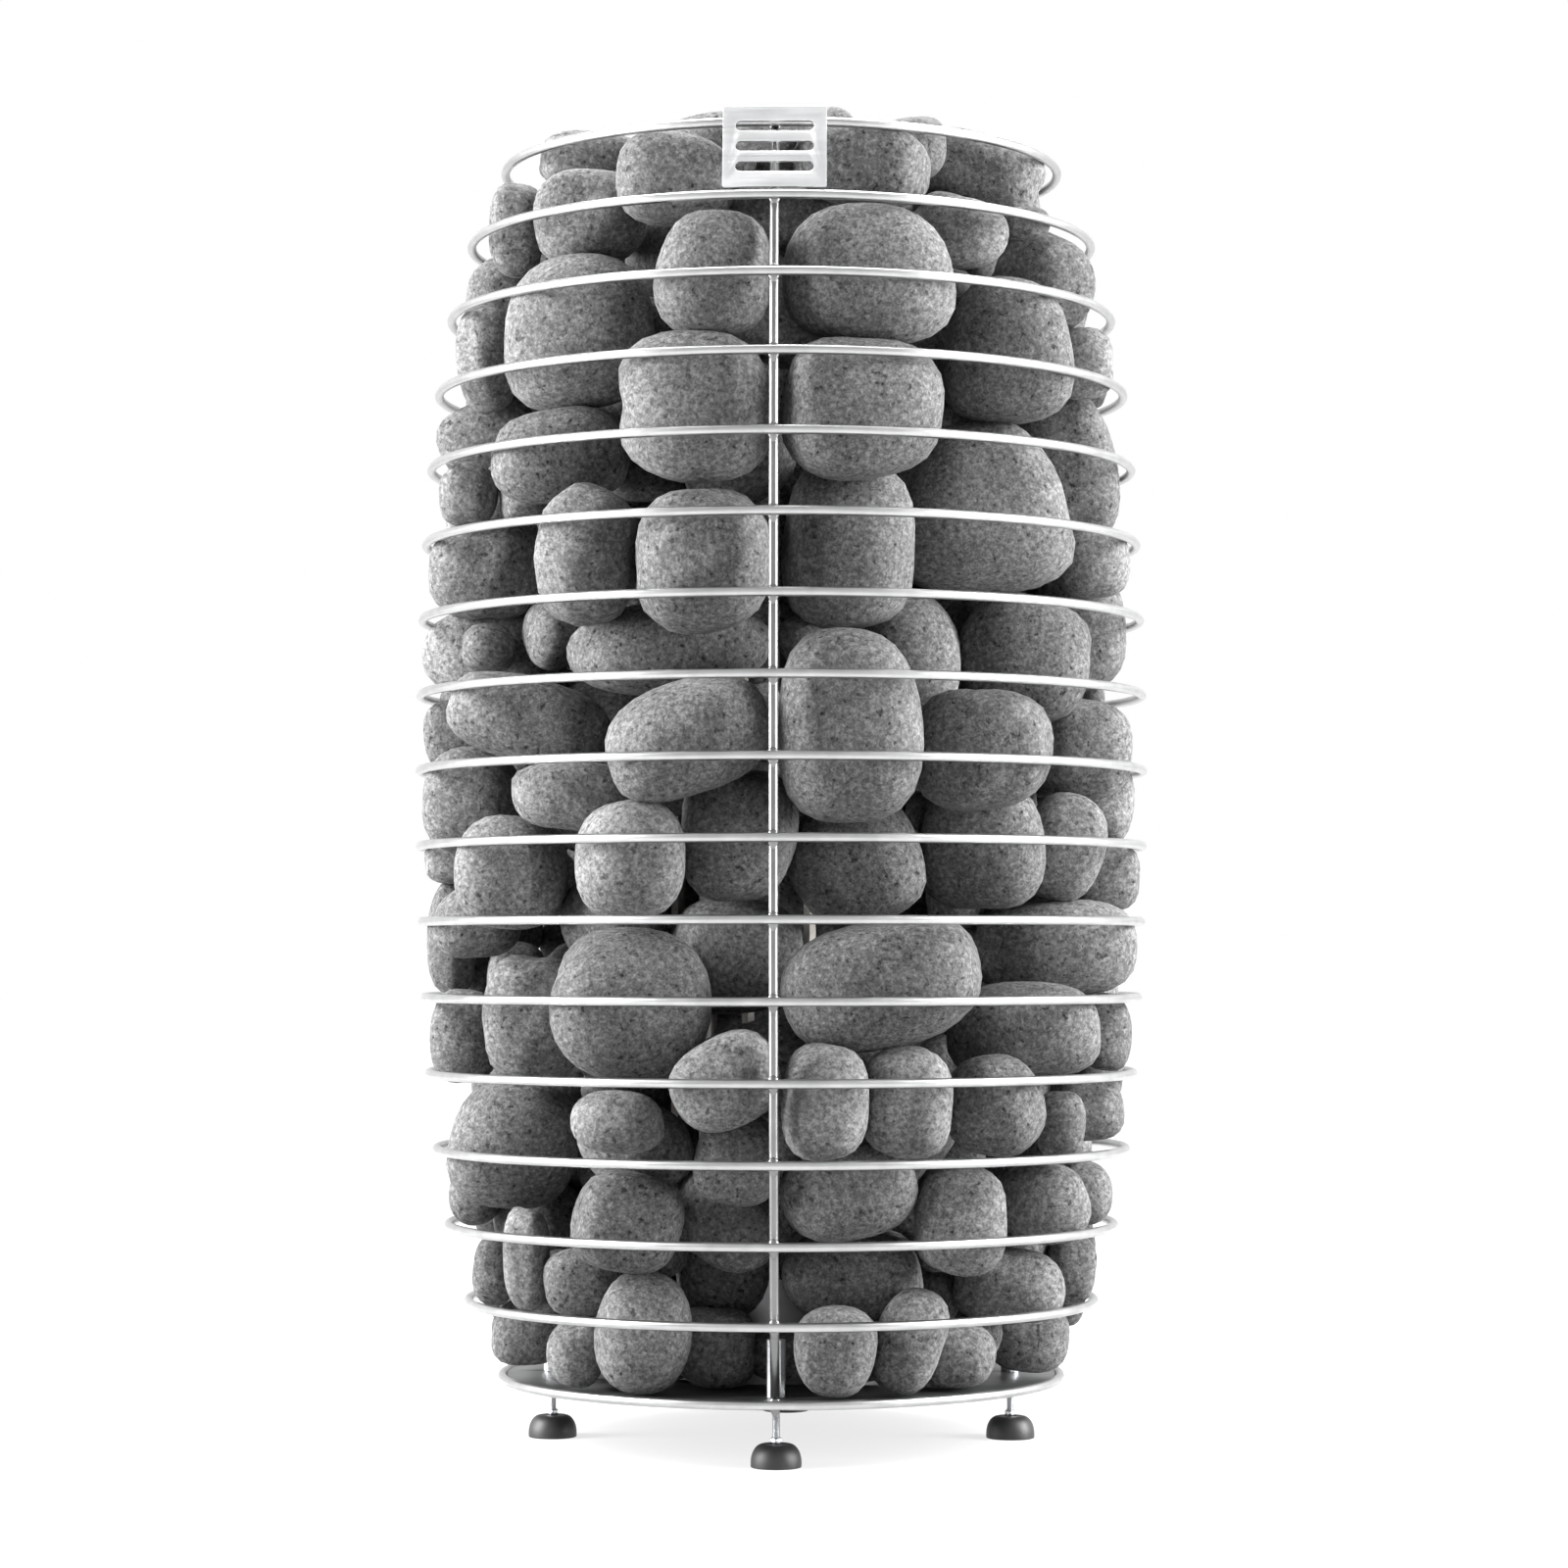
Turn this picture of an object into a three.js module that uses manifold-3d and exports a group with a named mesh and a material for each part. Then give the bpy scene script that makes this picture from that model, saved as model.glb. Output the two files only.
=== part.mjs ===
// Column sauna heater: a barrel basket of welded wire rings, filled with stones round a circle
// of tubular heating elements, on four levelling feet.
// Millimetres, +Z up, origin on the floor at the barrel's axis, front towards -Y.

import * as THREE from 'three';
import { mergeVertices } from 'three/addons/utils/BufferGeometryUtils.js';
import Module from 'manifold-3d';

const wasm = await Module();
wasm.setup();

// Clearances
const SEAT_GAP = 0.3;           // between metal pieces that are welded, screwed or stacked
const THREAD_GAP = 0.3;         // round a stud in its socket
const STONE_GAP = 0.5;          // between stones that lie on one another or on the base
const STONE_CLEARANCE = 1;      // between stones and the metal that they stand beside

// Wire basket
const RING_COUNT = 17;
const RING_PITCH = 50;
const WIRE_DIAMETER = 6;
const BOTTOM_RING_HEIGHT = 42;  // wire centre above the floor
const BELLY_RADIUS = 240.8;     // wire centre at the widest ring
const BELLY_BOW = 26.5;         // even bow of the barrel, from the belly to its ends
const SHOULDER_DROP = 29.3;     // further draw-in that sets in near the ends
const UPRIGHT_COUNT = 3;
const UPRIGHT_DIAMETER = 6;

// Bare front plate
const PLATE_WIDTH = 65;
const PLATE_THICKNESS = 2;
const PLATE_OVERHANG = 8.4;     // above the point where it crosses the top ring
const PLATE_CORNER = 1.5;
const SLOT_COUNT = 3;
const SLOT_HEIGHT = 7;
const SLOT_MARGIN = 8;          // from the plate's sides to the slot ends

// Base
const BASE_THICKNESS = 3;
const FOOT_INSET = 33;          // from the bottom ring's wire centre to the foot's axis

// Levelling feet
const PAD_RADIUS = 15;
const PAD_HEIGHT = 14.5;
const PAD_CROWN_RADIUS = 8.5;
const PAD_RIM_HEIGHT = 3;
const PAD_SOCKET_DEPTH = 7;
const STUD_DIAMETER = 5;
const STUD_ENGAGEMENT = 18;     // stud above the base at rest
const STUD_TRAVEL_UP = 10;
const COLLAR_ACROSS_FLATS = 7;
const COLLAR_HEIGHT = 3.5;
const SOCKET_WALL = 3.2;
const SOCKET_CAP = 3;

// Heating elements
const ELEMENT_COUNT = 6;
const ELEMENT_DIAMETER = 8.2;
const ELEMENT_CIRCLE_RADIUS = 68;
const ELEMENT_LEG_SPACING = 40;
const ELEMENT_TOP_COVER = 122;  // from the bend's crown up to the top ring
const ELEMENT_TAIL = 26;        // leg below the carrier plate
const CARRIER_THICKNESS = 3;
const SPACER_THICKNESS = 2;
const SPACER_RIM = 7;           // of metal beside the legs
const SPACER_SHARE = 0.55;      // of the way from the carrier to the bends

// Terminal box
const BOX_HEIGHT = 64;
const BOX_WALL = 1.5;
const BOX_MARGIN = 9;           // from the element legs to the box wall
const BOX_OPENING_LIP = 5;      // of base plate inside the box wall
const COVER_THICKNESS = 2;
const COVER_LAP = 5;            // of cover past the opening
const BLOCK_SIZE = [62, 34, 22];
const GLAND_OFFSET = 46;
const GLAND_RADIUS = 8;
const GLAND_BORE_RADIUS = 4.5;
const GLAND_NUT_RADIUS = 11.5;
const GLAND_NUT_HEIGHT = 11;
const GLAND_THREAD_LENGTH = 9;

// Stones
const TIER_COUNT = 10;
const STONES_PER_TIER = 13;
const LONG_WAVES = 2;           // rises of the bed that one tier makes for the next
const LONG_WAVE_HEIGHT = 9;
const SHORT_WAVES = 5;
const SHORT_WAVE_HEIGHT = 4;
const BED_TURN = 2.4;           // turn from one bed to the next, in radians
const STONE_SHIFT = 0.5;        // how unevenly stones share a tier
const STONE_SETBACK = 6;        // how unevenly stones reach the basket
const STONE_TWIST = 0.9;        // how far a stone's corners turn, in radians
const STONE_SQUARENESS = 0.75;  // 1 for round stones, less for blocks
const STONE_FACE = 0.84;        // outline of a stone's outer face, as a share of its girth
const STONE_CROWN = 0.12;       // depth of its outer rounding, as a share of its depth
const STONE_GIRTH = 0.74;       // place of its girth, as a share of its depth
const SHOULDER_LAP = 0.12;      // how far neighbours press into one another
const SETTLE_PASSES = 24;
const SETTLE_LIFT = 3;          // step that frees a tier from the one below, before it settles
const TIER_SEEDS = 100;         // numbers of the scatter kept for each tier
const SETBACK_SEED = 31;
const TWIST_SEED = 57;
const CAP_SEEDS = 40;           // numbers of the scatter kept for each circle of the heap
const CORE_SEED = 7;
const CAP_SEAT = 26;            // bed of the heaped stones below the top ring
const CAP_RISE = 38;            // crown of the heap above the top ring
const CAP_FALL = 24;            // from the crown to the tops at the basket's edge
const CAP_UNEVENNESS = 5;       // how far single stones of the heap lie lower
const CAP_STONE_HEIGHT = 64;
const CAP_COUNTS = [1, 4, 8];   // stones in each circle of the heap, from the middle
const CAP_OVERLAP = 1.6;        // width of a heaped stone over the pitch of the circles
const CORE_STONES = 8;
const CORE_NECK = 0.62;         // neck between two stones, as a share of the widest
const CORE_UNEVENNESS = 0.14;   // how far a stone of the core stays under the widest
const CORE_SHOULDER = 0.3;      // height of a stone's widest part, as a share of its height

// Facets
const SEGMENTS_BETWEEN_UPRIGHTS = 7;
const WIRE_SIDES = 5;
const BEND_STEPS = 6;
const ROUND_SIDES = 12;
const LEG_HOLE_SIDES = 6;
const CORE_SIDES = 7;
const CAP_STONE_SIDES = 5;
const CAP_STONE_ROWS = 4;
const STONE_SIDES = 6;

// Derived sizes
const wireRadius = WIRE_DIAMETER / 2;
const ringSegments = UPRIGHT_COUNT * SEGMENTS_BETWEEN_UPRIGHTS;
const front = -Math.PI / 2;
const basketHeight = RING_PITCH * (RING_COUNT - 1);
const topRingHeight = BOTTOM_RING_HEIGHT + basketHeight;
const bottomRingRadius = ringRadius(0);
const uprightInset = wireRadius + SEAT_GAP + UPRIGHT_DIAMETER / 2;
const ringFlat = BELLY_RADIUS * (1 - Math.cos(Math.PI / ringSegments));
const bayInset = wireRadius + ringFlat + STONE_CLEARANCE;
const rodInset = uprightInset + UPRIGHT_DIAMETER / 2 + STONE_CLEARANCE;
const baseBottom = BOTTOM_RING_HEIGHT - BASE_THICKNESS / 2;
const baseTop = baseBottom + BASE_THICKNESS;
const footCircleRadius = bottomRingRadius - FOOT_INSET;
const studRadius = STUD_DIAMETER / 2;
const studTop = baseTop + STUD_ENGAGEMENT;
const threadRadius = circumradius(studRadius + THREAD_GAP, ROUND_SIDES);
const socketRadius = threadRadius + SOCKET_WALL;
const socketBoreTop = studTop + STUD_TRAVEL_UP + STUD_DIAMETER;
const socketTop = socketBoreTop + SOCKET_CAP;
const elementRadius = ELEMENT_DIAMETER / 2;
const legCircleRadius = Math.hypot(ELEMENT_CIRCLE_RADIUS, ELEMENT_LEG_SPACING / 2);
const legHoleRadius = circumradius(elementRadius + SEAT_GAP, LEG_HOLE_SIDES);
const boxRadius = legCircleRadius + elementRadius + BOX_MARGIN + BOX_WALL;
const boxBottom = baseTop + SEAT_GAP;
const carrierBottom = boxBottom + BOX_HEIGHT + SEAT_GAP;
const carrierTop = carrierBottom + CARRIER_THICKNESS;
const elementTop = topRingHeight - ELEMENT_TOP_COVER;
const openingRadius = boxRadius - BOX_WALL - BOX_OPENING_LIP;
const coverTop = baseBottom - SEAT_GAP;
const coverBottom = coverTop - COVER_THICKNESS;
const capBed = topRingHeight - CAP_SEAT;
const tierPitch = (capBed - baseTop) / TIER_COUNT;
const tierInnerRadius = boxRadius + STONE_CLEARANCE;

// Materials
const finishes = {
  steel: { color: 0xcfd1d3, roughness: 0.32, metalness: 0.95 },
  plainSteel: { color: 0x9a9c9f, roughness: 0.45, metalness: 0.9 },
  element: { color: 0x4c4a48, roughness: 0.55, metalness: 0.8 },
  stone: { color: 0x6a6b6c, roughness: 0.95, metalness: 0 },
  rubber: { color: 0x17181a, roughness: 0.7, metalness: 0 },
  ceramic: { color: 0xe6e1d6, roughness: 0.5, metalness: 0 },
  plastic: { color: 0x2a2b2d, roughness: 0.6, metalness: 0 },
};

const heater = new THREE.Group();

// Repeatable value from 0 to 1 for a whole-number seed.
function scatter(seed) {
  const wave = Math.sin(seed * 127.1 + 11.7) * 43758.5453;
  return wave - Math.floor(wave);
}

// Corner radius of a regular polygon whose flats lie at the given radius.
function circumradius(flatRadius, sides) {
  return flatRadius / Math.cos(Math.PI / sides);
}

// Wire centre radius of a ring: the belly less an even bow and a late, steep shoulder.
function ringRadius(ring) {
  const share = (2 * ring) / (RING_COUNT - 1) - 1;
  return BELLY_RADIUS - BELLY_BOW * share ** 2 - SHOULDER_DROP * share ** 6;
}

function ringHeight(ring) {
  return BOTTOM_RING_HEIGHT + RING_PITCH * ring;
}

// Radius of the straight-sided basket between its rings at a height.
function basketRadius(height) {
  const place = (height - BOTTOM_RING_HEIGHT) / RING_PITCH;
  const ring = THREE.MathUtils.clamp(Math.floor(place), 0, RING_COUNT - 2);
  return THREE.MathUtils.lerp(ringRadius(ring), ringRadius(ring + 1), place - ring);
}

function polygon(radius, sides, turn = 0) {
  const corners = [];
  for (let side = 0; side < sides; side += 1) {
    const angle = turn + (2 * Math.PI * side) / sides;
    corners.push(new THREE.Vector2(radius * Math.cos(angle), radius * Math.sin(angle)));
  }
  return corners;
}

function holeAt(x, y, radius, sides = ROUND_SIDES) {
  const corners = polygon(radius, sides);
  return new THREE.Path(corners.map((corner) => corner.add(new THREE.Vector2(x, y))));
}

// Slab with an outline and holes, standing from z = 0 to its thickness.
function slab(outline, holes, thickness) {
  const shape = new THREE.Shape(outline);
  shape.holes.push(...holes);
  return new THREE.ExtrudeGeometry(shape, { depth: thickness, bevelEnabled: false, curveSegments: 4 });
}

function roundBar(curve, radius, sides, steps) {
  const section = new THREE.Shape(polygon(radius, sides));
  return new THREE.ExtrudeGeometry(section, { extrudePath: curve, steps });
}

// Revolved profile of [radius, height] corners that starts and ends on the axis, or closes.
function revolved(corners, sides) {
  const profile = corners.map(([radius, height]) => new THREE.Vector2(radius, height));
  return new THREE.LatheGeometry(profile, sides).rotateX(Math.PI / 2);
}

function signedVolume(geometry) {
  const position = geometry.attributes.position;
  const index = geometry.index;
  const [a, b, c] = [new THREE.Vector3(), new THREE.Vector3(), new THREE.Vector3()];
  let volume = 0;
  for (let corner = 0; corner < index.count; corner += 3) {
    a.fromBufferAttribute(position, index.getX(corner));
    b.fromBufferAttribute(position, index.getX(corner + 1));
    c.fromBufferAttribute(position, index.getX(corner + 2));
    volume += a.dot(b.cross(c)) / 6;
  }
  return volume;
}

// Joins shared corners, leaves out collapsed faces and turns the surface outwards.
function closedSurface(geometry) {
  const bare = geometry.clone();
  bare.deleteAttribute('normal');
  bare.deleteAttribute('uv');
  const surface = mergeVertices(bare);
  const faces = [];
  for (let corner = 0; corner < surface.index.count; corner += 3) {
    const face = [0, 1, 2].map((step) => surface.index.getX(corner + step));
    if (new Set(face).size === 3) faces.push(face);
  }
  surface.setIndex(faces.flat());
  if (signedVolume(surface) < 0) {
    surface.setIndex(faces.map((face) => face.reverse()).flat());
  }
  surface.computeVertexNormals();
  return surface;
}

function toSolid(geometry) {
  const surface = closedSurface(geometry);
  return new wasm.Manifold(new wasm.Mesh({
    numProp: 3,
    vertProperties: Float32Array.from(surface.attributes.position.array),
    triVerts: Uint32Array.from(surface.index.array),
  }));
}

function fromSolid(solid) {
  const mesh = solid.getMesh();
  const geometry = new THREE.BufferGeometry();
  geometry.setAttribute('position', new THREE.BufferAttribute(Float32Array.from(mesh.vertProperties), 3));
  geometry.setIndex(Array.from(mesh.triVerts));
  return geometry;
}

function add(name, geometry, finish, parent = heater) {
  const mesh = new THREE.Mesh(closedSurface(geometry), new THREE.MeshStandardMaterial(finishes[finish]));
  mesh.name = name;
  parent.add(mesh);
  return mesh;
}

// Wire rings, the barrel's hoops
function addRings() {
  for (let ring = 0; ring < RING_COUNT; ring += 1) {
    const section = polygon(wireRadius, WIRE_SIDES, Math.PI);
    const corners = [...section, section[0]].map(({ x, y }) => [ringRadius(ring) + x, ringHeight(ring) + y]);
    add(`ring_${String(ring + 1).padStart(2, '0')}`, revolved(corners, ringSegments), 'steel');
  }
}

// Rod that runs up inside the rings, straight from one ring to the next.
class UprightLine extends THREE.Curve {
  constructor() {
    super();
    const lean = Math.atan2(ringRadius(1) - ringRadius(0), RING_PITCH);
    const endRise = (UPRIGHT_DIAMETER / 2) * Math.sin(lean);
    this.heights = [baseTop + SEAT_GAP + endRise];
    for (let ring = 1; ring < RING_COUNT - 1; ring += 1) {
      this.heights.push(ringHeight(ring));
    }
    this.heights.push(topRingHeight + wireRadius);
  }

  getUtoTmapping(share) {
    return share;
  }

  getPoint(share, target = new THREE.Vector3()) {
    const place = share * (this.heights.length - 1);
    const step = Math.min(Math.floor(place), this.heights.length - 2);
    const height = THREE.MathUtils.lerp(this.heights[step], this.heights[step + 1], place - step);
    return target.set(basketRadius(height) - uprightInset, 0, height);
  }
}

function addUprights() {
  const names = ['front', 'right', 'left'];
  const line = new UprightLine();
  const rod = roundBar(line, UPRIGHT_DIAMETER / 2, WIRE_SIDES, line.heights.length - 1);
  for (let upright = 0; upright < UPRIGHT_COUNT; upright += 1) {
    const name = names[upright] ?? String(upright + 1);
    add(`upright_${name}`, rod, 'steel').rotation.z = front + (2 * Math.PI * upright) / UPRIGHT_COUNT;
  }
}

// Slot with round ends, centred at a height above the plate's lower edge.
function plateSlot(height) {
  const radius = SLOT_HEIGHT / 2;
  const reach = PLATE_WIDTH / 2 - SLOT_MARGIN - radius;
  const slot = new THREE.Path();
  slot.absarc(reach, height, radius, -Math.PI / 2, Math.PI / 2, false);
  slot.absarc(-reach, height, radius, Math.PI / 2, 1.5 * Math.PI, false);
  return slot;
}

function plateOutline(length) {
  const side = PLATE_WIDTH / 2;
  return [
    [-side + PLATE_CORNER, 0],
    [side - PLATE_CORNER, 0],
    [side, PLATE_CORNER],
    [side, length - PLATE_CORNER],
    [side - PLATE_CORNER, length],
    [-side + PLATE_CORNER, length],
    [-side, length - PLATE_CORNER],
    [-side, PLATE_CORNER],
  ].map(([x, y]) => new THREE.Vector2(x, y));
}

// The plate stands on the second ring from the top and leans back against the top ring.
function addFrontPlate() {
  const lower = new THREE.Vector2(ringRadius(RING_COUNT - 2), ringHeight(RING_COUNT - 2));
  const upper = new THREE.Vector2(ringRadius(RING_COUNT - 1), topRingHeight);
  const span = lower.distanceTo(upper);
  const standOff = wireRadius + SEAT_GAP + PLATE_THICKNESS / 2;
  const tilt = Math.atan2(lower.x - upper.x, upper.y - lower.y) - Math.asin(standOff / span);
  const ringFallBack = (PLATE_WIDTH / 2) * Math.tan(Math.PI / ringSegments);
  const foot = wireRadius + SEAT_GAP + ringFallBack * Math.sin(tilt);
  const length = Math.sqrt(span ** 2 - standOff ** 2) + PLATE_OVERHANG - foot;
  const slots = [];
  for (let slot = 0; slot < SLOT_COUNT; slot += 1) {
    slots.push(plateSlot((length * (slot + 1)) / (SLOT_COUNT + 1)));
  }
  const plate = slab(plateOutline(length), slots, PLATE_THICKNESS);
  plate.translate(0, foot, -PLATE_THICKNESS / 2);
  const mesh = add('front_plate', plate, 'steel');
  mesh.rotation.x = Math.PI / 2 - tilt;
  mesh.position.set(0, -lower.x, lower.y);
}

// Places round the axis, the first at the front.
function aroundAxis(count, radius) {
  const places = [];
  for (let copy = 0; copy < count; copy += 1) {
    const angle = front + (2 * Math.PI * copy) / count;
    places.push({ angle, x: radius * Math.cos(angle), y: radius * Math.sin(angle) });
  }
  return places;
}

const footNames = ['front', 'right', 'rear', 'left'];
const footPlaces = aroundAxis(footNames.length, footCircleRadius);

function addBasePlate() {
  const outline = polygon(bottomRingRadius - wireRadius - SEAT_GAP, ringSegments, front);
  const holes = footPlaces.map(({ x, y }) => holeAt(x, y, threadRadius));
  holes.push(holeAt(0, 0, openingRadius, ringSegments));
  const plate = slab(outline, holes, BASE_THICKNESS);
  add('base_plate', plate, 'plainSteel').position.z = baseBottom;
}

// Low dome with a blind socket in its crown for the stud's foot.
function footPad() {
  const socketRadiusInPad = circumradius(studRadius + THREAD_GAP, ROUND_SIDES);
  const corners = [[0, 0], [PAD_RADIUS, 0], [PAD_RADIUS, PAD_RIM_HEIGHT]];
  const domeSteps = 3;
  for (let step = 1; step <= domeSteps; step += 1) {
    const angle = (Math.PI / 2) * (step / domeSteps);
    const radius = PAD_CROWN_RADIUS + (PAD_RADIUS - PAD_CROWN_RADIUS) * Math.cos(angle);
    corners.push([radius, PAD_RIM_HEIGHT + (PAD_HEIGHT - PAD_RIM_HEIGHT) * Math.sin(angle)]);
  }
  corners.push([socketRadiusInPad, PAD_HEIGHT], [socketRadiusInPad, PAD_HEIGHT - PAD_SOCKET_DEPTH]);
  corners.push([0, PAD_HEIGHT - PAD_SOCKET_DEPTH]);
  return revolved(corners, ROUND_SIDES);
}

// Threaded stud with a hexagon collar that sits on the pad.
function footStud() {
  const bottom = PAD_HEIGHT - PAD_SOCKET_DEPTH + SEAT_GAP;
  const stem = new THREE.CylinderGeometry(studRadius, studRadius, studTop - bottom, ROUND_SIDES);
  stem.rotateX(Math.PI / 2).translate(0, 0, (studTop + bottom) / 2);
  const collarRadius = circumradius(COLLAR_ACROSS_FLATS / 2, 6);
  const collar = slab(polygon(collarRadius, 6), [], COLLAR_HEIGHT);
  collar.translate(0, 0, PAD_HEIGHT + SEAT_GAP);
  return fromSolid(toSolid(stem).add(toSolid(collar)));
}

// Closed bush on the base plate, open below for the stud.
function footSocket() {
  return revolved([
    [0, socketBoreTop],
    [threadRadius, socketBoreTop],
    [threadRadius, baseTop + SEAT_GAP],
    [socketRadius, baseTop + SEAT_GAP],
    [socketRadius, socketTop],
    [0, socketTop],
  ], ROUND_SIDES);
}

function addFeet() {
  footPlaces.forEach(({ x, y }, foot) => {
    const place = new THREE.Group();
    place.position.set(x, y, 0);
    heater.add(place);
    add(`foot_pad_${footNames[foot]}`, footPad(), 'rubber', place);
    add(`foot_stud_${footNames[foot]}`, footStud(), 'plainSteel', place);
    add(`foot_socket_${footNames[foot]}`, footSocket(), 'plainSteel', place);
  });
}

// Hairpin: one leg up, a half circle and the other leg down, with its steps kept for the bend.
class Hairpin extends THREE.Curve {
  getUtoTmapping(share) {
    return share;
  }

  getPoint(share, target = new THREE.Vector3()) {
    const half = ELEMENT_LEG_SPACING / 2;
    const bendHeight = elementTop - half - elementRadius;
    const tail = carrierBottom - ELEMENT_TAIL;
    const place = share * (BEND_STEPS + 2);
    if (place <= 1) {
      return target.set(-half, 0, THREE.MathUtils.lerp(tail, bendHeight, place));
    }
    if (place >= BEND_STEPS + 1) {
      return target.set(half, 0, THREE.MathUtils.lerp(bendHeight, tail, place - BEND_STEPS - 1));
    }
    const angle = Math.PI * (1 - (place - 1) / BEND_STEPS);
    return target.set(half * Math.cos(angle), 0, bendHeight + half * Math.sin(angle));
  }
}

const elementPlaces = aroundAxis(ELEMENT_COUNT, ELEMENT_CIRCLE_RADIUS);

function legHoles() {
  return elementPlaces.flatMap(({ angle, x, y }) => [-1, 1].map((side) => {
    const shift = (side * ELEMENT_LEG_SPACING) / 2;
    return holeAt(x - shift * Math.sin(angle), y + shift * Math.cos(angle), legHoleRadius, LEG_HOLE_SIDES);
  }));
}

function addElements() {
  const tube = roundBar(new Hairpin(), elementRadius, WIRE_SIDES, BEND_STEPS + 2);
  elementPlaces.forEach(({ angle, x, y }, copy) => {
    const mesh = add(`heating_element_${copy + 1}`, tube, 'element');
    mesh.position.set(x, y, 0);
    mesh.rotation.z = angle + Math.PI / 2;
  });
  const carrier = slab(polygon(boxRadius, ringSegments, front), legHoles(), CARRIER_THICKNESS);
  add('element_carrier', carrier, 'plainSteel').position.z = carrierBottom;
  const outline = polygon(legCircleRadius + elementRadius + SPACER_RIM, ringSegments, front);
  const middle = holeAt(0, 0, ELEMENT_CIRCLE_RADIUS - elementRadius - SPACER_RIM, ringSegments);
  const spacer = slab(outline, [middle, ...legHoles()], SPACER_THICKNESS);
  add('element_spacer', spacer, 'plainSteel').position.z =
    THREE.MathUtils.lerp(carrierTop, elementTop, SPACER_SHARE);
}

// Drum under the carrier, its cover under the base, and what they hold.
function addTerminalBox() {
  const inner = boxRadius - BOX_WALL;
  const drum = slab(polygon(boxRadius, ringSegments, front),
    [new THREE.Path(polygon(inner, ringSegments, front))], BOX_HEIGHT);
  add('terminal_box', drum, 'plainSteel').position.z = boxBottom;

  const glandHole = holeAt(0, GLAND_OFFSET, circumradius(GLAND_RADIUS + SEAT_GAP, ROUND_SIDES));
  const cover = slab(polygon(openingRadius + COVER_LAP, ringSegments, front), [glandHole], COVER_THICKNESS);
  add('terminal_cover', cover, 'plainSteel').position.z = coverBottom;

  const block = new THREE.BoxGeometry(...BLOCK_SIZE);
  add('terminal_block', block, 'ceramic').position.z = coverTop + SEAT_GAP + BLOCK_SIZE[2] / 2;

  const shoulder = coverBottom - SEAT_GAP;
  const gland = revolved([
    [GLAND_BORE_RADIUS, shoulder - GLAND_NUT_HEIGHT],
    [GLAND_NUT_RADIUS, shoulder - GLAND_NUT_HEIGHT],
    [GLAND_NUT_RADIUS, shoulder],
    [GLAND_RADIUS, shoulder],
    [GLAND_RADIUS, shoulder + GLAND_THREAD_LENGTH],
    [GLAND_BORE_RADIUS, shoulder + GLAND_THREAD_LENGTH],
    [GLAND_BORE_RADIUS, shoulder - GLAND_NUT_HEIGHT],
  ], ROUND_SIDES);
  add('cable_gland', gland, 'plastic').position.y = GLAND_OFFSET;
}

// Outermost reach of a stone at a height, from the basket's wire line.
function stoneReach(height, inset) {
  return basketRadius(height) - inset;
}

// Bed between two tiers: it waves round the basket, and lies flat on the base and under the heap.
function bedHeight(bed, angle) {
  const level = baseTop + tierPitch * bed;
  if (bed === 0 || bed === TIER_COUNT) return level;
  const longWave = Math.sin(LONG_WAVES * angle + BED_TURN * bed);
  const shortWave = Math.sin(SHORT_WAVES * angle - BED_TURN * bed * bed);
  return level + LONG_WAVE_HEIGHT * longWave + SHORT_WAVE_HEIGHT * shortWave;
}

// Whether an upright stands in front of a stone between two angles.
function meetsUpright(from, to) {
  const margin = Math.asin((UPRIGHT_DIAMETER / 2 + STONE_CLEARANCE) / bottomRingRadius);
  const middle = (from + to) / 2;
  return aroundAxis(UPRIGHT_COUNT, 1).some(({ angle }) =>
    Math.abs(Math.atan2(Math.sin(angle - middle), Math.cos(angle - middle))) < (to - from) / 2 + margin);
}

// Rows of a rounded block from its outer face to its back: [share of its outline, share of its depth].
const stoneRows = [
  [0, 1],
  [STONE_FACE, 1 - STONE_CROWN],
  [1, STONE_GIRTH],
  [0, 0],
];

// Corners of a stone's outline, stretched to fill a square from -1 to 1.
function stoneOutline(twist) {
  const corners = [];
  for (let side = 0; side < STONE_SIDES; side += 1) {
    const turn = (2 * Math.PI * side) / STONE_SIDES + twist;
    corners.push([squared(Math.cos(turn)), squared(Math.sin(turn))]);
  }
  const width = Math.max(...corners.map(([across]) => Math.abs(across)));
  const height = Math.max(...corners.map(([, rise]) => Math.abs(rise)));
  return corners.map(([across, rise]) => [across / width, rise / height]);
}

// One stone of a tier, between two angles and the beds below and above it, rounded towards the basket.
function tierStone(tier, seed, from, to) {
  const inset = meetsUpright(from, to) ? rodInset : bayInset;
  const setback = STONE_SETBACK * scatter(seed + SETBACK_SEED);
  const corners = stoneOutline(STONE_TWIST * (scatter(seed + TWIST_SEED) - 0.5));
  const middle = (from + to) / 2;
  const rows = stoneRows.map(([outline, depth]) => corners.map(([across, rise]) => {
    const angle = middle + ((to - from) / 2) * across * outline;
    const share = (1 + rise * outline) / 2;
    const height = THREE.MathUtils.lerp(bedHeight(tier, angle), bedHeight(tier + 1, angle), share);
    const reach = stoneReach(height, inset);
    const radius = Math.min(THREE.MathUtils.lerp(tierInnerRadius, reach - setback, depth), reach);
    return new THREE.Vector3(radius * Math.cos(angle), radius * Math.sin(angle), height);
  }));
  return rowedSkin(rows);
}

// Share from -1 to 1 pushed outwards, so that a circle becomes a rounded square.
function squared(share) {
  return Math.sign(share) * Math.abs(share) ** STONE_SQUARENESS;
}

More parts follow.
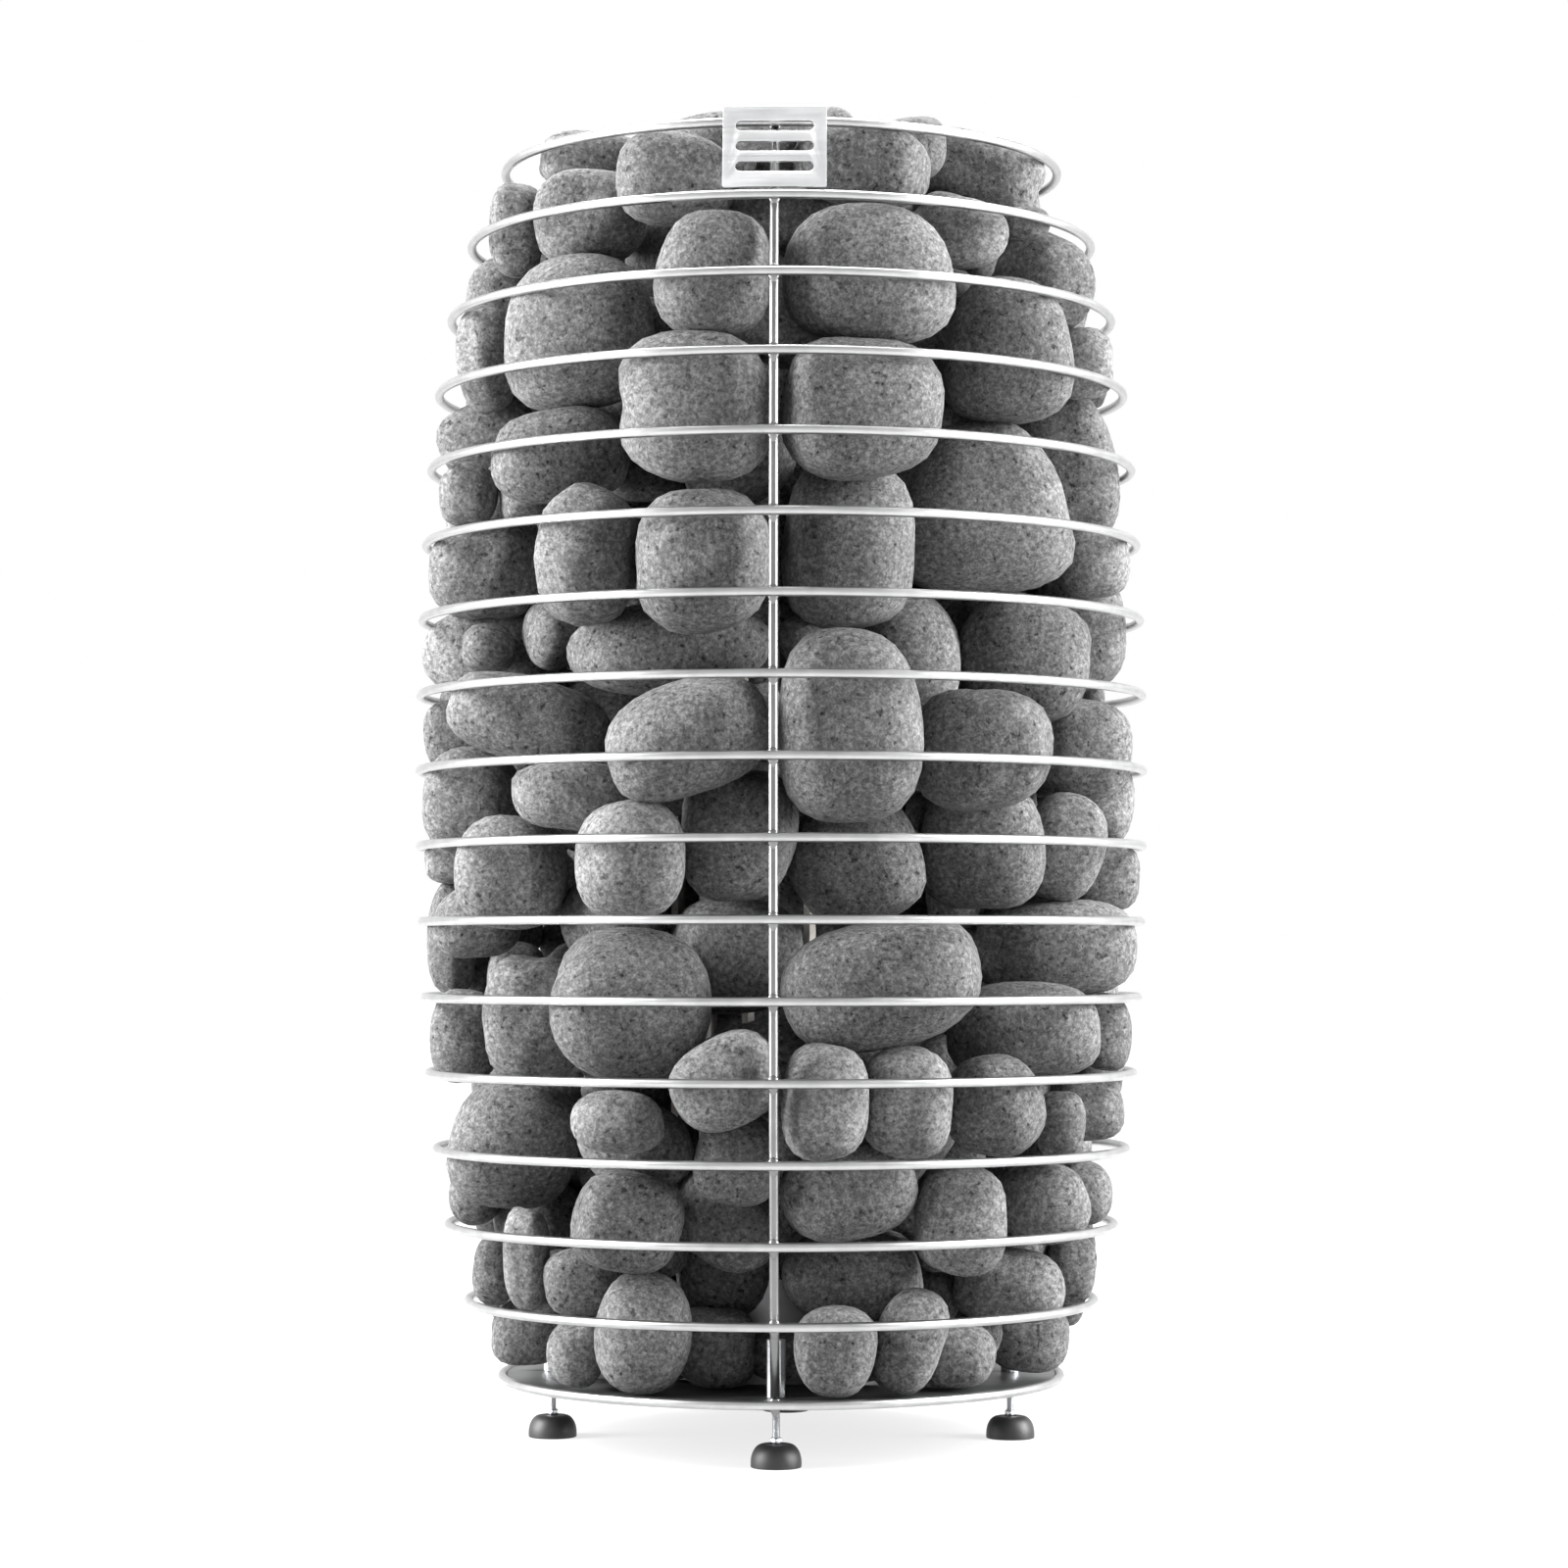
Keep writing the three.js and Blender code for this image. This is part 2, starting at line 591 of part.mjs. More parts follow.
// Skin over closed rows of points that start and end in one point.
function rowedSkin(rows) {
  const sides = rows[0].length;
  const faces = [];
  for (let row = 0; row < rows.length - 1; row += 1) {
    for (let side = 0; side < sides; side += 1) {
      const after = (side + 1) % sides;
      const [a, b] = [row * sides + side, row * sides + after];
      const [c, d] = [a + sides, b + sides];
      faces.push(a, c, b, b, c, d);
    }
  }
  const geometry = new THREE.BufferGeometry().setFromPoints(rows.flat());
  geometry.setIndex(faces);
  return geometry;
}

// One tier: stones shoulder to shoulder round the basket, each joined to the next where they touch.
function stoneTier(tier) {
  const count = STONES_PER_TIER - (tier % 2);
  const seed = tier * TIER_SEEDS;
  const touch = (stone) => {
    const shift = STONE_SHIFT * (scatter(seed + (stone % count)) - 0.5);
    return BED_TURN * tier + (2 * Math.PI * (stone + shift)) / count;
  };
  const stones = [];
  for (let stone = 0; stone < count; stone += 1) {
    const lap = (SHOULDER_LAP * (touch(stone + 1) - touch(stone))) / 2;
    stones.push(toSolid(tierStone(tier, seed + stone, touch(stone) - lap, touch(stone + 1) + lap)));
  }
  return stones.reduce((joined, stone) => joined.add(stone));
}

// Raises or lowers a body until it rests on the ones below it.
function settled(solid, supports) {
  let resting = solid;
  for (let pass = 0; pass < SETTLE_PASSES; pass += 1) {
    const gap = Math.min(...supports.map((support) => resting.minGap(support, tierPitch)));
    resting = resting.translate(0, 0, gap > 0 ? STONE_GAP - gap : SETTLE_LIFT);
  }
  return resting;
}

// Hollows among the lowest stones where the foot sockets stand.
function clearOfSockets(stones) {
  const radius = circumradius(socketRadius + STONE_CLEARANCE, ROUND_SIDES);
  const height = socketTop + STONE_CLEARANCE;
  return footPlaces.reduce((clear, { x, y }) => {
    const hollow = new THREE.CylinderGeometry(radius, radius, height, ROUND_SIDES);
    hollow.rotateX(Math.PI / 2).translate(x, y, height / 2);
    return clear.subtract(toSolid(hollow));
  }, stones);
}

// Tiers of stones, each settled on the one below; returns the highest.
function addStoneTiers() {
  let below = toSolid(heater.getObjectByName('base_plate').geometry).translate(0, 0, baseBottom);
  for (let tier = 0; tier < TIER_COUNT; tier += 1) {
    const stones = stoneTier(tier);
    const besideSockets = baseTop + tierPitch * (tier - 1) < socketTop;
    below = settled(besideSockets ? clearOfSockets(stones) : stones, [below]);
    add(`stones_tier_${String(tier + 1).padStart(2, '0')}`, fromSolid(below), 'stone');
  }
  return below;
}

// Stack of stones inside the circle of elements, from the carrier up to the heap.
function addStoneCore() {
  const bottom = carrierTop + STONE_GAP;
  const pitch = (capBed - bottom) / CORE_STONES;
  const widest = ELEMENT_CIRCLE_RADIUS - elementRadius - SPACER_RIM - STONE_CLEARANCE;
  const corners = [[0, bottom]];
  for (let stone = 0; stone < CORE_STONES; stone += 1) {
    const level = bottom + pitch * stone;
    const radius = widest * (1 - CORE_UNEVENNESS * scatter(stone + CORE_SEED));
    const shoulder = pitch * CORE_SHOULDER;
    corners.push([widest * CORE_NECK, level]);
    corners.push([radius, level + shoulder], [radius, level + pitch - shoulder]);
  }
  corners.push([widest * CORE_NECK, capBed], [0, capBed]);
  add('stones_core', revolved(corners, CORE_SIDES), 'stone');
}

// Heap over the top ring: circles of rounded stones that lie against one another, highest in the middle.
function addStoneCap(highestTier) {
  const rim = stoneReach(topRingHeight, rodInset);
  const pitch = rim / (CAP_COUNTS.length - 1 + CAP_OVERLAP / 2);
  const halfWidth = (CAP_OVERLAP * pitch) / 2;
  const stones = CAP_COUNTS.flatMap((count, circle) =>
    aroundAxis(count, pitch * circle).map(({ angle, x, y }, copy) => {
      const unevenness = CAP_UNEVENNESS * scatter(circle * CAP_SEEDS + copy);
      const fall = CAP_FALL * ((pitch * circle) / rim) ** 2 + unevenness;
      const stone = new THREE.SphereGeometry(1, CAP_STONE_SIDES, CAP_STONE_ROWS);
      stone.rotateX(Math.PI / 2).rotateZ(angle).scale(halfWidth, halfWidth, CAP_STONE_HEIGHT / 2);
      return toSolid(stone.translate(x, y, topRingHeight + CAP_RISE - CAP_STONE_HEIGHT / 2 - fall));
    }));
  const heap = stones.reduce((joined, stone) => joined.add(stone));
  const bedded = heap.trimByPlane([0, 0, 1], capBed);
  const core = toSolid(heater.getObjectByName('stones_core').geometry);
  add('stones_cap', fromSolid(settled(bedded, [highestTier, core])), 'stone');
}

addRings();
addUprights();
addFrontPlate();
addBasePlate();
addFeet();
addElements();
addTerminalBox();
const highestTier = addStoneTiers();
addStoneCore();
addStoneCap(highestTier);

export default heater;
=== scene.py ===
"""Column sauna heater: smooth wire basket, rounded stones, bare front plate, levelling feet and studio."""

import math

import bpy
import numpy as np
from mathutils import Matrix


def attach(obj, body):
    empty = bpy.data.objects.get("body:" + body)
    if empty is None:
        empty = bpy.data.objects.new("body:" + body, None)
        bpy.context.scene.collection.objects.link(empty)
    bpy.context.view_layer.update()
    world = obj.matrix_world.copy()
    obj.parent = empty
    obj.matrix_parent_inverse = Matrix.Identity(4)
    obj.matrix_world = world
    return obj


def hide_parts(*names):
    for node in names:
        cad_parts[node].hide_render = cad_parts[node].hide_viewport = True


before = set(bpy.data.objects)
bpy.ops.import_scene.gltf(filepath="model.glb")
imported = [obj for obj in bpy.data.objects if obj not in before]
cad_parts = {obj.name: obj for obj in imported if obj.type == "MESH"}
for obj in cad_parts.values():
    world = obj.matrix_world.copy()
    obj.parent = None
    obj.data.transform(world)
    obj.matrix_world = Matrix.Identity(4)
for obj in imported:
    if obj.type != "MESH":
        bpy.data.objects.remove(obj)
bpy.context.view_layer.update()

MM = 0.001

# Basket, the same sizes as the solids
RING_COUNT = 17
RING_PITCH = 50 * MM
BOTTOM_RING_HEIGHT = 42 * MM
BELLY_RADIUS = 240.8 * MM
BELLY_BOW = 26.5 * MM
SHOULDER_DROP = 29.3 * MM
RING_FLATS = 21              # flats of a ring's solid, whose corners the front plate stands clear of
WIRE_RADIUS = 3 * MM
SEAT_GAP = 0.3 * MM
UPRIGHT_RADIUS = 3 * MM
UPRIGHT_ANGLES = {"front": -90, "right": 30, "left": 150}
BASE_TOP = 43.5 * MM

# Photograph's camera
PHOTO_WIDTH = 1600
PHOTO_CENTRE = 800
LENS = 91.49
SENSOR = 36.0
CAMERA_DISTANCE = 2.662
CAMERA_AZIMUTH = math.radians(1.2)
CAMERA_HEIGHT = 0.3267
CAMERA_PITCH = math.radians(2.31)
CAMERA_YAW = 0.0007
CAMERA_CLIP = (0.05, 60)     # nearest and furthest that it shows

# Stone heap and tiers
SEED = 41
STONE_DEPTH = 0.82           # depth of a stone as a share of its mean width
BULGE = 5 * MM               # how far a stone swells out between two rings
STONE_GAP = 0.5 * MM
ROD_SIDE = 3.8 * MM          # half the strip behind an upright where stones stand back
HEAP_CROWN = 0.878
HEAP_FALL = 0.022
HEAP_RADIUS = 0.17
TIER_COUNT = 10
TIER_BASE = BASE_TOP
TIER_PITCH = 77.25 * MM

# Stones that show from the front, in the photograph's pixels: middle across and down, width, height,
# turn to the left in degrees, narrowing towards the top. An earlier one takes its place before a later one.
FRONT_STONES = (
    (690, 181, 118, 92, 0, 0), (880, 168, 135, 82, -10, 0), (1013, 176, 136, 80, -16, 0),
    (602, 222, 110, 92, 0, 0), (727, 280, 116, 122, 0, 0), (885, 281, 168, 138, 0, 0.12),
    (517, 235, 57, 98, 0, 0), (978, 238, 98, 70, -5, 0), (592, 340, 148, 155, 0, 0),
    (1028, 358, 125, 142, 0, 0.15), (1074, 288, 104, 96, -25, 0), (488, 366, 66, 112, 0, 0),
    (1118, 372, 66, 76, 0, 0), (710, 415, 150, 150, 0, 0), (880, 417, 160, 140, 0, 0),
    (572, 465, 138, 92, 8, 0), (495, 448, 98, 80, 25, 0),
    (478, 504, 58, 62, 0, 0), (865, 555, 130, 165, 0, 0), (1002, 517, 166, 172, 0, 0.35),
    (1086, 478, 100, 152, 8, 0), (1128, 496, 62, 116, 0, 0), (600, 566, 104, 140, 0, 0),
    (717, 573, 132, 142, 0, 0), (489, 580, 117, 102, 0, 0), (683, 662, 200, 92, 5, 0),
    (505, 668, 140, 90, 0, 0), (868, 740, 142, 190, 0, 0), (930, 672, 100, 138, 0, 0),
    (1003, 766, 136, 120, 0, 0), (1045, 668, 135, 115, -20, 0), (1120, 574, 72, 68, 0, 0),
    (1098, 640, 98, 126, 15, 0), (702, 752, 165, 112, 20, 0), (540, 735, 160, 85, -15, 0),
    (1108, 765, 90, 100, 0, 0), (643, 878, 108, 120, 0, 0), (587, 812, 125, 70, 0, 0),
    (755, 852, 115, 130, 0, 0), (475, 817, 100, 108, 0, 0), (473, 752, 78, 76, 0, 0),
    (873, 880, 130, 128, 25, 0), (1001, 860, 125, 130, 0, 0), (1086, 865, 80, 108, -15, 0),
    (1143, 895, 78, 76, 0, 0), (522, 890, 110, 112, 0, 0), (487, 940, 88, 72, 0, 0),
    (644, 1026, 157, 152, 0, 0), (750, 975, 132, 116, 0, 0), (900, 1005, 198, 124, 12, 0),
    (1080, 968, 160, 96, 0, 0), (547, 1040, 105, 126, 0, 0), (470, 1057, 66, 92, 0, 0),
    (1045, 1051, 150, 93, 0, 0), (1140, 1053, 52, 80, 0, 0), (740, 1105, 110, 90, 25, 0),
    (842, 1125, 86, 115, 0, 0), (926, 1125, 90, 110, 0, 0), (1015, 1128, 100, 100, 0, 0),
    (1081, 1148, 50, 68, -8, 0), (1131, 1131, 82, 76, 0, 0), (525, 1167, 126, 128, -10, 0),
    (640, 1248, 108, 102, -12, 0), (648, 1168, 118, 88, -20, 0), (752, 1182, 85, 92, 0, 0),
    (866, 1214, 134, 98, 12, 0), (980, 1243, 90, 112, 0, 0), (1066, 1228, 90, 80, 0, 0),
    (1126, 1217, 66, 76, 0, 0), (465, 1218, 60, 74, 0, 0), (740, 1284, 96, 124, 0, 0),
    (870, 1301, 138, 94, 0, 0), (595, 1308, 80, 68, 0, 0), (537, 1284, 46, 100, 0, 0),
    (490, 1296, 46, 76, 0, 0), (1030, 1312, 110, 72, 0, 0), (1113, 1296, 58, 78, 0, 0),
    (525, 1372, 78, 70, 0, 0), (584, 1385, 58, 66, 0, 0), (648, 1368, 98, 120, 0, 0),
    (741, 1389, 89, 84, 0, 0), (841, 1390, 84, 92, 0, -0.18), (913, 1382, 74, 112, -20, 0),
    (985, 1393, 85, 68, 0, 0), (1064, 1378, 85, 74, 0, 0),
    (659, 490, 80, 42, 0, 0), (520, 300, 84, 72, 0, 0),
    (1045, 228, 50, 32, 0, 0),
    (600, 165, 100, 60, 0, 0), (800, 222, 140, 60, 0, 0),
    (1128, 650, 66, 92, 0, 0), (1132, 815, 66, 90, 0, 0), (458, 880, 56, 42, 0, 0),
    (450, 956, 50, 120, 0, 0), (490, 990, 44, 70, 0, 0), (630, 1145, 92, 62, 0, 0),
    (952, 1326, 52, 60, 0, 0), (1090, 1322, 42, 60, 0, 0),
)


def ring_radius(ring):
    """Wire centre radius: the belly less an even bow and a late, steep shoulder."""
    share = 2 * np.asarray(ring, float) / (RING_COUNT - 1) - 1
    return BELLY_RADIUS - BELLY_BOW * share**2 - SHOULDER_DROP * share**6


RING_HEIGHTS = BOTTOM_RING_HEIGHT + RING_PITCH * np.arange(RING_COUNT)
RING_RADII = ring_radius(np.arange(RING_COUNT))


def basket_radius(height):
    """Straight lines from one ring's wire centre to the next."""
    return np.interp(height, RING_HEIGHTS, RING_RADII)


# Camera

HEADING = CAMERA_AZIMUTH - CAMERA_YAW
EYE = np.array([
    CAMERA_DISTANCE * math.sin(CAMERA_AZIMUTH),
    -CAMERA_DISTANCE * math.cos(CAMERA_AZIMUTH),
    CAMERA_HEIGHT,
])
AHEAD = np.array([
    -math.sin(HEADING) * math.cos(CAMERA_PITCH),
    math.cos(HEADING) * math.cos(CAMERA_PITCH),
    math.sin(CAMERA_PITCH),
])
RIGHT = np.array([math.cos(HEADING), math.sin(HEADING), 0.0])
UP = np.cross(RIGHT, AHEAD)
FOCAL = PHOTO_WIDTH * LENS / SENSOR


def sight(across, down):
    """Direction through a place in the photograph, one metre deep along the camera's axis."""
    return AHEAD + (across - PHOTO_CENTRE) / FOCAL * RIGHT - (down - PHOTO_CENTRE) / FOCAL * UP


def seen_at(points):
    """Place of points in the photograph: their share of the depth, sideways and up, by the focal length."""
    away = points - EYE
    depth = away @ AHEAD
    return PHOTO_CENTRE + FOCAL * (away @ RIGHT) / depth, PHOTO_CENTRE - FOCAL * (away @ UP) / depth


def aimed(side, over, back, place):
    """Matrix of an object that stands at a place on these three axes."""
    turn = np.eye(4)
    turn[:3] = np.stack([side, over, back, place], 1)
    return Matrix(turn)


def make_camera():
    """The photograph's camera, level across and pitched up a little."""
    data = bpy.data.cameras.new("camera")
    data.lens = LENS
    data.sensor_width = SENSOR
    data.clip_start, data.clip_end = CAMERA_CLIP
    camera = bpy.data.objects.new("camera", data)
    bpy.context.scene.collection.objects.link(camera)
    camera.matrix_world = aimed(RIGHT, UP, -AHEAD, EYE)
    bpy.context.scene.camera = camera


# Meshes


def grid_faces(rows, columns, close_rows=False):
    """Quads of a grid, row by row, joined round across the columns and, where asked, across the rows."""
    row = np.arange(rows if close_rows else rows - 1)
    r, c = np.meshgrid(row, np.arange(columns), indexing="ij")
    r2, c2 = (r + 1) % rows, (c + 1) % columns
    corners = [r * columns + c, r * columns + c2, r2 * columns + c2, r2 * columns + c]
    return np.stack(corners, -1).reshape(-1, 4)


def join(parts):
    """Several (points, faces) as one, faces renumbered by the points before them."""
    points, faces, start = [], [], 0
    for p, f in parts:
        points.append(p)
        faces.extend((np.asarray(face) + start).tolist() for face in f)
        start += len(p)
    return np.concatenate(points), faces


def make_piece(name, points, faces, material, body, replaced=(), values=None, uv=None):
    """One object at the origin with its place in its mesh, smooth, riding on a body."""
    mesh = bpy.data.meshes.new(name)
    mesh.from_pydata(np.asarray(points, float).tolist(), [], [list(map(int, f)) for f in faces])
    mesh.validate(clean_customdata=False)
    mesh.polygons.foreach_set("use_smooth", np.ones(len(mesh.polygons), bool))
    if values is not None:
        layer = mesh.attributes.new("tone", "FLOAT", "POINT")
        layer.data.foreach_set("value", np.asarray(values, np.float32))
    if uv is not None:
        layer = mesh.uv_layers.new(name="along")
        corner = np.zeros(len(mesh.loops), np.int32)
        mesh.loops.foreach_get("vertex_index", corner)
        layer.data.foreach_set("uv", np.asarray(uv, np.float32)[corner].ravel())
    mesh.materials.append(material)
    mesh.update()
    piece = bpy.data.objects.new(name, mesh)
    bpy.context.scene.collection.objects.link(piece)
    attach(piece, body)
    if replaced:
        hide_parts(*replaced)
    return piece


def revolve(profile, sides, centre):
    """Profile of (radius, height) rows turned round a vertical axis; rows on the axis become one point."""
    profile = np.asarray(profile, float)
    angle = 2 * np.pi * np.arange(sides) / sides
    ring = np.stack([np.cos(angle), np.sin(angle)], -1)
    points = np.concatenate(
        [np.concatenate([ring * r + centre, np.full((sides, 1), z)], 1) for r, z in profile]
    )
    faces = grid_faces(len(profile), sides)
    return weld(points, faces)


def weld(points, faces, near=1e-7):
    """Merges points that coincide and leaves out faces that collapse."""
    key = np.round(points / near).astype(np.int64)
    _, first, place = np.unique(key, axis=0, return_index=True, return_inverse=True)
    place = place.ravel()
    kept = []
    for face in faces:
        corners = [int(place[i]) for i in face]
        corners = [c for k, c in enumerate(corners) if c != corners[k - 1]]
        if len(set(corners)) >= 3:
            kept.append(corners)
    return points[first], kept


def tube(path, radius, sides, side_axis):
    """Round section carried along a path: at each point a circle across the path's direction."""
    path = np.asarray(path, float)
    ahead = np.roll(path, -1, 0) - np.roll(path, 1, 0)
    ahead[0], ahead[-1] = path[1] - path[0], path[-1] - path[-2]
    ahead /= np.linalg.norm(ahead, axis=1, keepdims=True)
    side = np.cross(ahead, side_axis)
    side /= np.linalg.norm(side, axis=1, keepdims=True)
    over = np.cross(ahead, side)
    angle = 2 * np.pi * np.arange(sides) / sides
    ring = np.cos(angle)[None, :, None] * side[:, None] + np.sin(angle)[None, :, None] * over[:, None]
    points = path[:, None] + radius * ring
    return points.reshape(-1, 3), grid_faces(len(path), sides)


# Finishes

DRAWN_LINES = (12, 160, 1)   # how close lines lie along and across a wire
BRUSHING = (14, 900, 900)    # the same along and across a sheet


def link_math(tree, operation, a, b):
    """A Math node of two sockets or numbers."""
    node = tree.nodes.new("ShaderNodeMath")
    node.operation = operation
    for socket, value in zip(node.inputs, (a, b)):
        if isinstance(value, (int, float)):
            socket.default_value = value
        else:
            tree.links.new(value, socket)
    return node.outputs[0]


def link_range(tree, value, low, high, to_low=0.0, to_high=1.0, kind="LINEAR"):
    """A Map Range node that carries the span from low to high over to the span from to_low to to_high."""
    node = tree.nodes.new("ShaderNodeMapRange")
    node.interpolation_type = kind
    for key, number in zip(("From Min", "From Max", "To Min", "To Max"), (low, high, to_low, to_high)):
        node.inputs[key].default_value = number
    tree.links.new(value, node.inputs["Value"])
    return node.outputs["Result"]


class Finish:
    """A procedural material on Object coordinates, its nodes added one after another."""

    def __init__(self, name):
        self.material = bpy.data.materials.new(name)
        self.material.use_nodes = True
        self.tree = self.material.node_tree
        self.shader = self.tree.nodes["Principled BSDF"]
        self.coords = self.tree.nodes.new("ShaderNodeTexCoord").outputs["Object"]

    def link(self, source, target):
        self.tree.links.new(source, target)

    def uv(self):
        """The piece's own map, along and across a wire."""
        node = self.tree.nodes.new("ShaderNodeUVMap")
        node.uv_map = "along"
        return node.outputs["UV"]

    def stretched(self, coords, scale):
        """Coordinates drawn out by a scale on each axis."""
        node = self.tree.nodes.new("ShaderNodeMapping")
        node.inputs["Scale"].default_value = scale
        self.link(coords, node.inputs["Vector"])
        return node.outputs["Vector"]

    def noise(self, scale, detail=3.0, rough=0.55, coords=None):
        """Soft random shades from 0 to 1."""
        node = self.tree.nodes.new("ShaderNodeTexNoise")
        node.inputs["Scale"].default_value = scale
        node.inputs["Detail"].default_value = detail
        node.inputs["Roughness"].default_value = rough
        self.link(coords or self.coords, node.inputs["Vector"])
        return node.outputs["Fac"]

    def cells(self, scale):
        """One random colour for each small cell."""
        node = self.tree.nodes.new("ShaderNodeTexVoronoi")
        node.inputs["Scale"].default_value = scale
        self.link(self.coords, node.inputs["Vector"])
        return node.outputs["Color"]

    def attribute(self, name):
        """A number that the piece's points carry."""
        node = self.tree.nodes.new("ShaderNodeAttribute")
        node.attribute_name = name
        return node.outputs["Fac"]

    def spread(self, value, low, high, to_low, to_high):
        return link_range(self.tree, value, low, high, to_low, to_high)

    def math(self, operation, a, b):
        return link_math(self.tree, operation, a, b)

    def colour(self, value, stops):
        """Base colour that runs through the stops, each a place on the value's scale and its colour."""
        node = self.tree.nodes.new("ShaderNodeValToRGB")
        elements = node.color_ramp.elements
        while len(elements) < len(stops):
            elements.new(0.5)
        for element, (place, colour) in zip(elements, stops):
            element.position = place
            element.color = (*colour, 1)
        self.link(value, node.inputs["Fac"])
        self.link(node.outputs["Color"], self.shader.inputs["Base Color"])

    def roughness(self, value, low, high, to_low, to_high):
        """Roughness that follows a value."""
        self.link(self.spread(value, low, high, to_low, to_high), self.shader.inputs["Roughness"])

    def bump(self, height, strength, distance, under=None):
        """Fine relief from a height, on top of another relief where there is one."""
        node = self.tree.nodes.new("ShaderNodeBump")
        node.inputs["Strength"].default_value = strength
        node.inputs["Distance"].default_value = distance
        self.link(height, node.inputs["Height"])
        if under is not None:
            self.link(under, node.inputs["Normal"])
        self.link(node.outputs["Normal"], self.shader.inputs["Normal"])
        return node.outputs["Normal"]

    def set(self, **numbers):
        """Numbers that are the same all over the surface, by the shader's own names."""
        for name, value in numbers.items():
            self.shader.inputs[name.replace("_", " ")].default_value = value


def stone_finish():
    """Grey rock: faint clouds, light and dark grains, dark pits, each stone a little lighter or darker."""
    f = Finish("stone")
    clouds = f.noise(30, 3)
    grains = f.noise(300, 2, 0.65)
    crystals = f.noise(700, 2, 0.6)
    pits = f.spread(f.noise(240, 1, 0.4), 0.28, 0.36, 0.0, 1.0)
    tone = f.attribute("tone")
    value = f.math("ADD", f.spread(clouds, 0.3, 0.7, -0.06, 0.06), f.spread(grains, 0.3, 0.7, -0.24, 0.24))
    value = f.math("ADD", value, f.spread(crystals, 0.3, 0.7, -0.15, 0.15))
    value = f.math("ADD", value, f.spread(tone, 0.0, 1.0, 0.40, 0.60))
    value = f.math("SUBTRACT", value, f.spread(pits, 0.0, 1.0, 0.25, 0.0))
    black, grey, pale = (0.012, 0.012, 0.0122), (0.12, 0.12, 0.1208), (0.31, 0.31, 0.31)
    f.colour(value, [(0.0, black), (0.5, grey), (1.0, pale)])
    f.roughness(grains, 0.2, 0.8, 0.72, 0.92)
    f.set(Specular_IOR_Level=0.15)
    swell = f.bump(f.noise(45, 2, 0.5), 0.25, 2.0 * MM)
    f.bump(f.math("ADD", grains, pits), 0.4, 0.5 * MM, swell)
    return f.material


def wire_finish(name, shade):
    """Satin stainless wire: fine lines drawn along the wire, faint clouds in the shine."""
    f = Finish(name)
    lines = f.noise(1.0, 2, 0.5, f.stretched(f.uv(), DRAWN_LINES))
    clouds = f.noise(70, 3)
    dark = (0.88 * shade, 0.885 * shade, 0.89 * shade)
    light = (1.11 * shade, 1.115 * shade, 1.12 * shade)
    f.colour(clouds, [(0.25, dark), (0.75, light)])
    f.roughness(lines, 0.2, 0.8, 0.24, 0.40)
    f.set(Metallic=1.0)
    f.bump(lines, 0.12, 0.1 * MM)
    return f.material


def plate_finish(name, colour, rough):
    """Brushed steel sheet: long fine scratches one way, faint clouds."""
    f = Finish(name)
    lines = f.noise(1.0, 3, 0.6, f.stretched(f.coords, BRUSHING))
    clouds = f.noise(45, 3)
    dark = tuple(0.86 * c for c in colour)
    f.colour(clouds, [(0.3, dark), (0.7, colour)])
    f.roughness(lines, 0.25, 0.75, rough - 0.07, rough + 0.09)
    f.set(Metallic=1.0)
    f.bump(lines, 0.10, 0.08 * MM)
    return f.material


def zinc_finish():
    """Zinc-plated screw steel: small crystals that differ a little in shade, dull shine."""
    f = Finish("zinc_plating")
    f.colour(f.cells(900), [(0.0, (0.52, 0.53, 0.55)), (1.0, (0.70, 0.71, 0.72))])
    f.roughness(f.noise(200), 0.2, 0.8, 0.30, 0.48)
    f.set(Metallic=1.0)
    return f.material


def sheath_finish():
    """Heat-tinted element sheath: dark olive brown steel with cloudy oxide."""
    f = Finish("element_sheath")
    oxide = f.noise(55, 5, 0.6)
    f.colour(oxide, [(0.3, (0.10, 0.095, 0.09)), (0.7, (0.27, 0.26, 0.24))])
    f.roughness(oxide, 0.2, 0.8, 0.40, 0.62)
    f.set(Metallic=0.85)
    f.bump(f.noise(900, 2), 0.1, 0.1 * MM)
    return f.material


def ceramic_finish():
    """Unglazed steatite: warm white with faint clouds and a fine dry grain."""
    f = Finish("steatite")
    clouds = f.noise(90, 3)
    f.colour(clouds, [(0.3, (0.72, 0.69, 0.62)), (0.7, (0.84, 0.81, 0.75))])
    f.roughness(clouds, 0.2, 0.8, 0.55, 0.75)
    f.bump(f.noise(1400, 2), 0.15, 0.1 * MM)
    return f.material


def plastic_finish():
    """Black moulded plastic: fine spark-eroded grain, slightly uneven shine."""
    f = Finish("black_plastic")
    grain = f.noise(1500, 2, 0.6)
    dust = f.noise(60, 4)
    f.colour(dust, [(0.35, (0.012, 0.012, 0.013)), (0.75, (0.030, 0.030, 0.032))])
    f.roughness(dust, 0.2, 0.8, 0.42, 0.60)
    f.bump(grain, 0.25, 0.12 * MM)
    return f.material


STONE = stone_finish()
WIRE = wire_finish("satin_wire", 0.48)
# The uprights are the same satin steel as the rings. Their darker colour here is painted shade, standing in
# for rods that face the dim side of the studio.
PAINTED_SHADE_ROD = wire_finish("satin_rod_painted_shade", 0.22)
PLATE = plate_finish("brushed_plate", (0.93, 0.94, 0.95), 0.34)
SHEET = plate_finish("plain_sheet", (0.20, 0.203, 0.207), 0.42)
ZINC = zinc_finish()
SHEATH = sheath_finish()
CERAMIC = ceramic_finish()
PLASTIC = plastic_finish()


# Wire basket

RING_STEPS = 192
RING_SIDES = 14
SEAM_LENGTH = 4 * MM
SEAM_SWELL = 0.10
SEAM_STRAY = 0.12            # how far a seam lies to one side of the back, as an angle
SEAM_TURN = 2.1              # how that changes from ring to ring


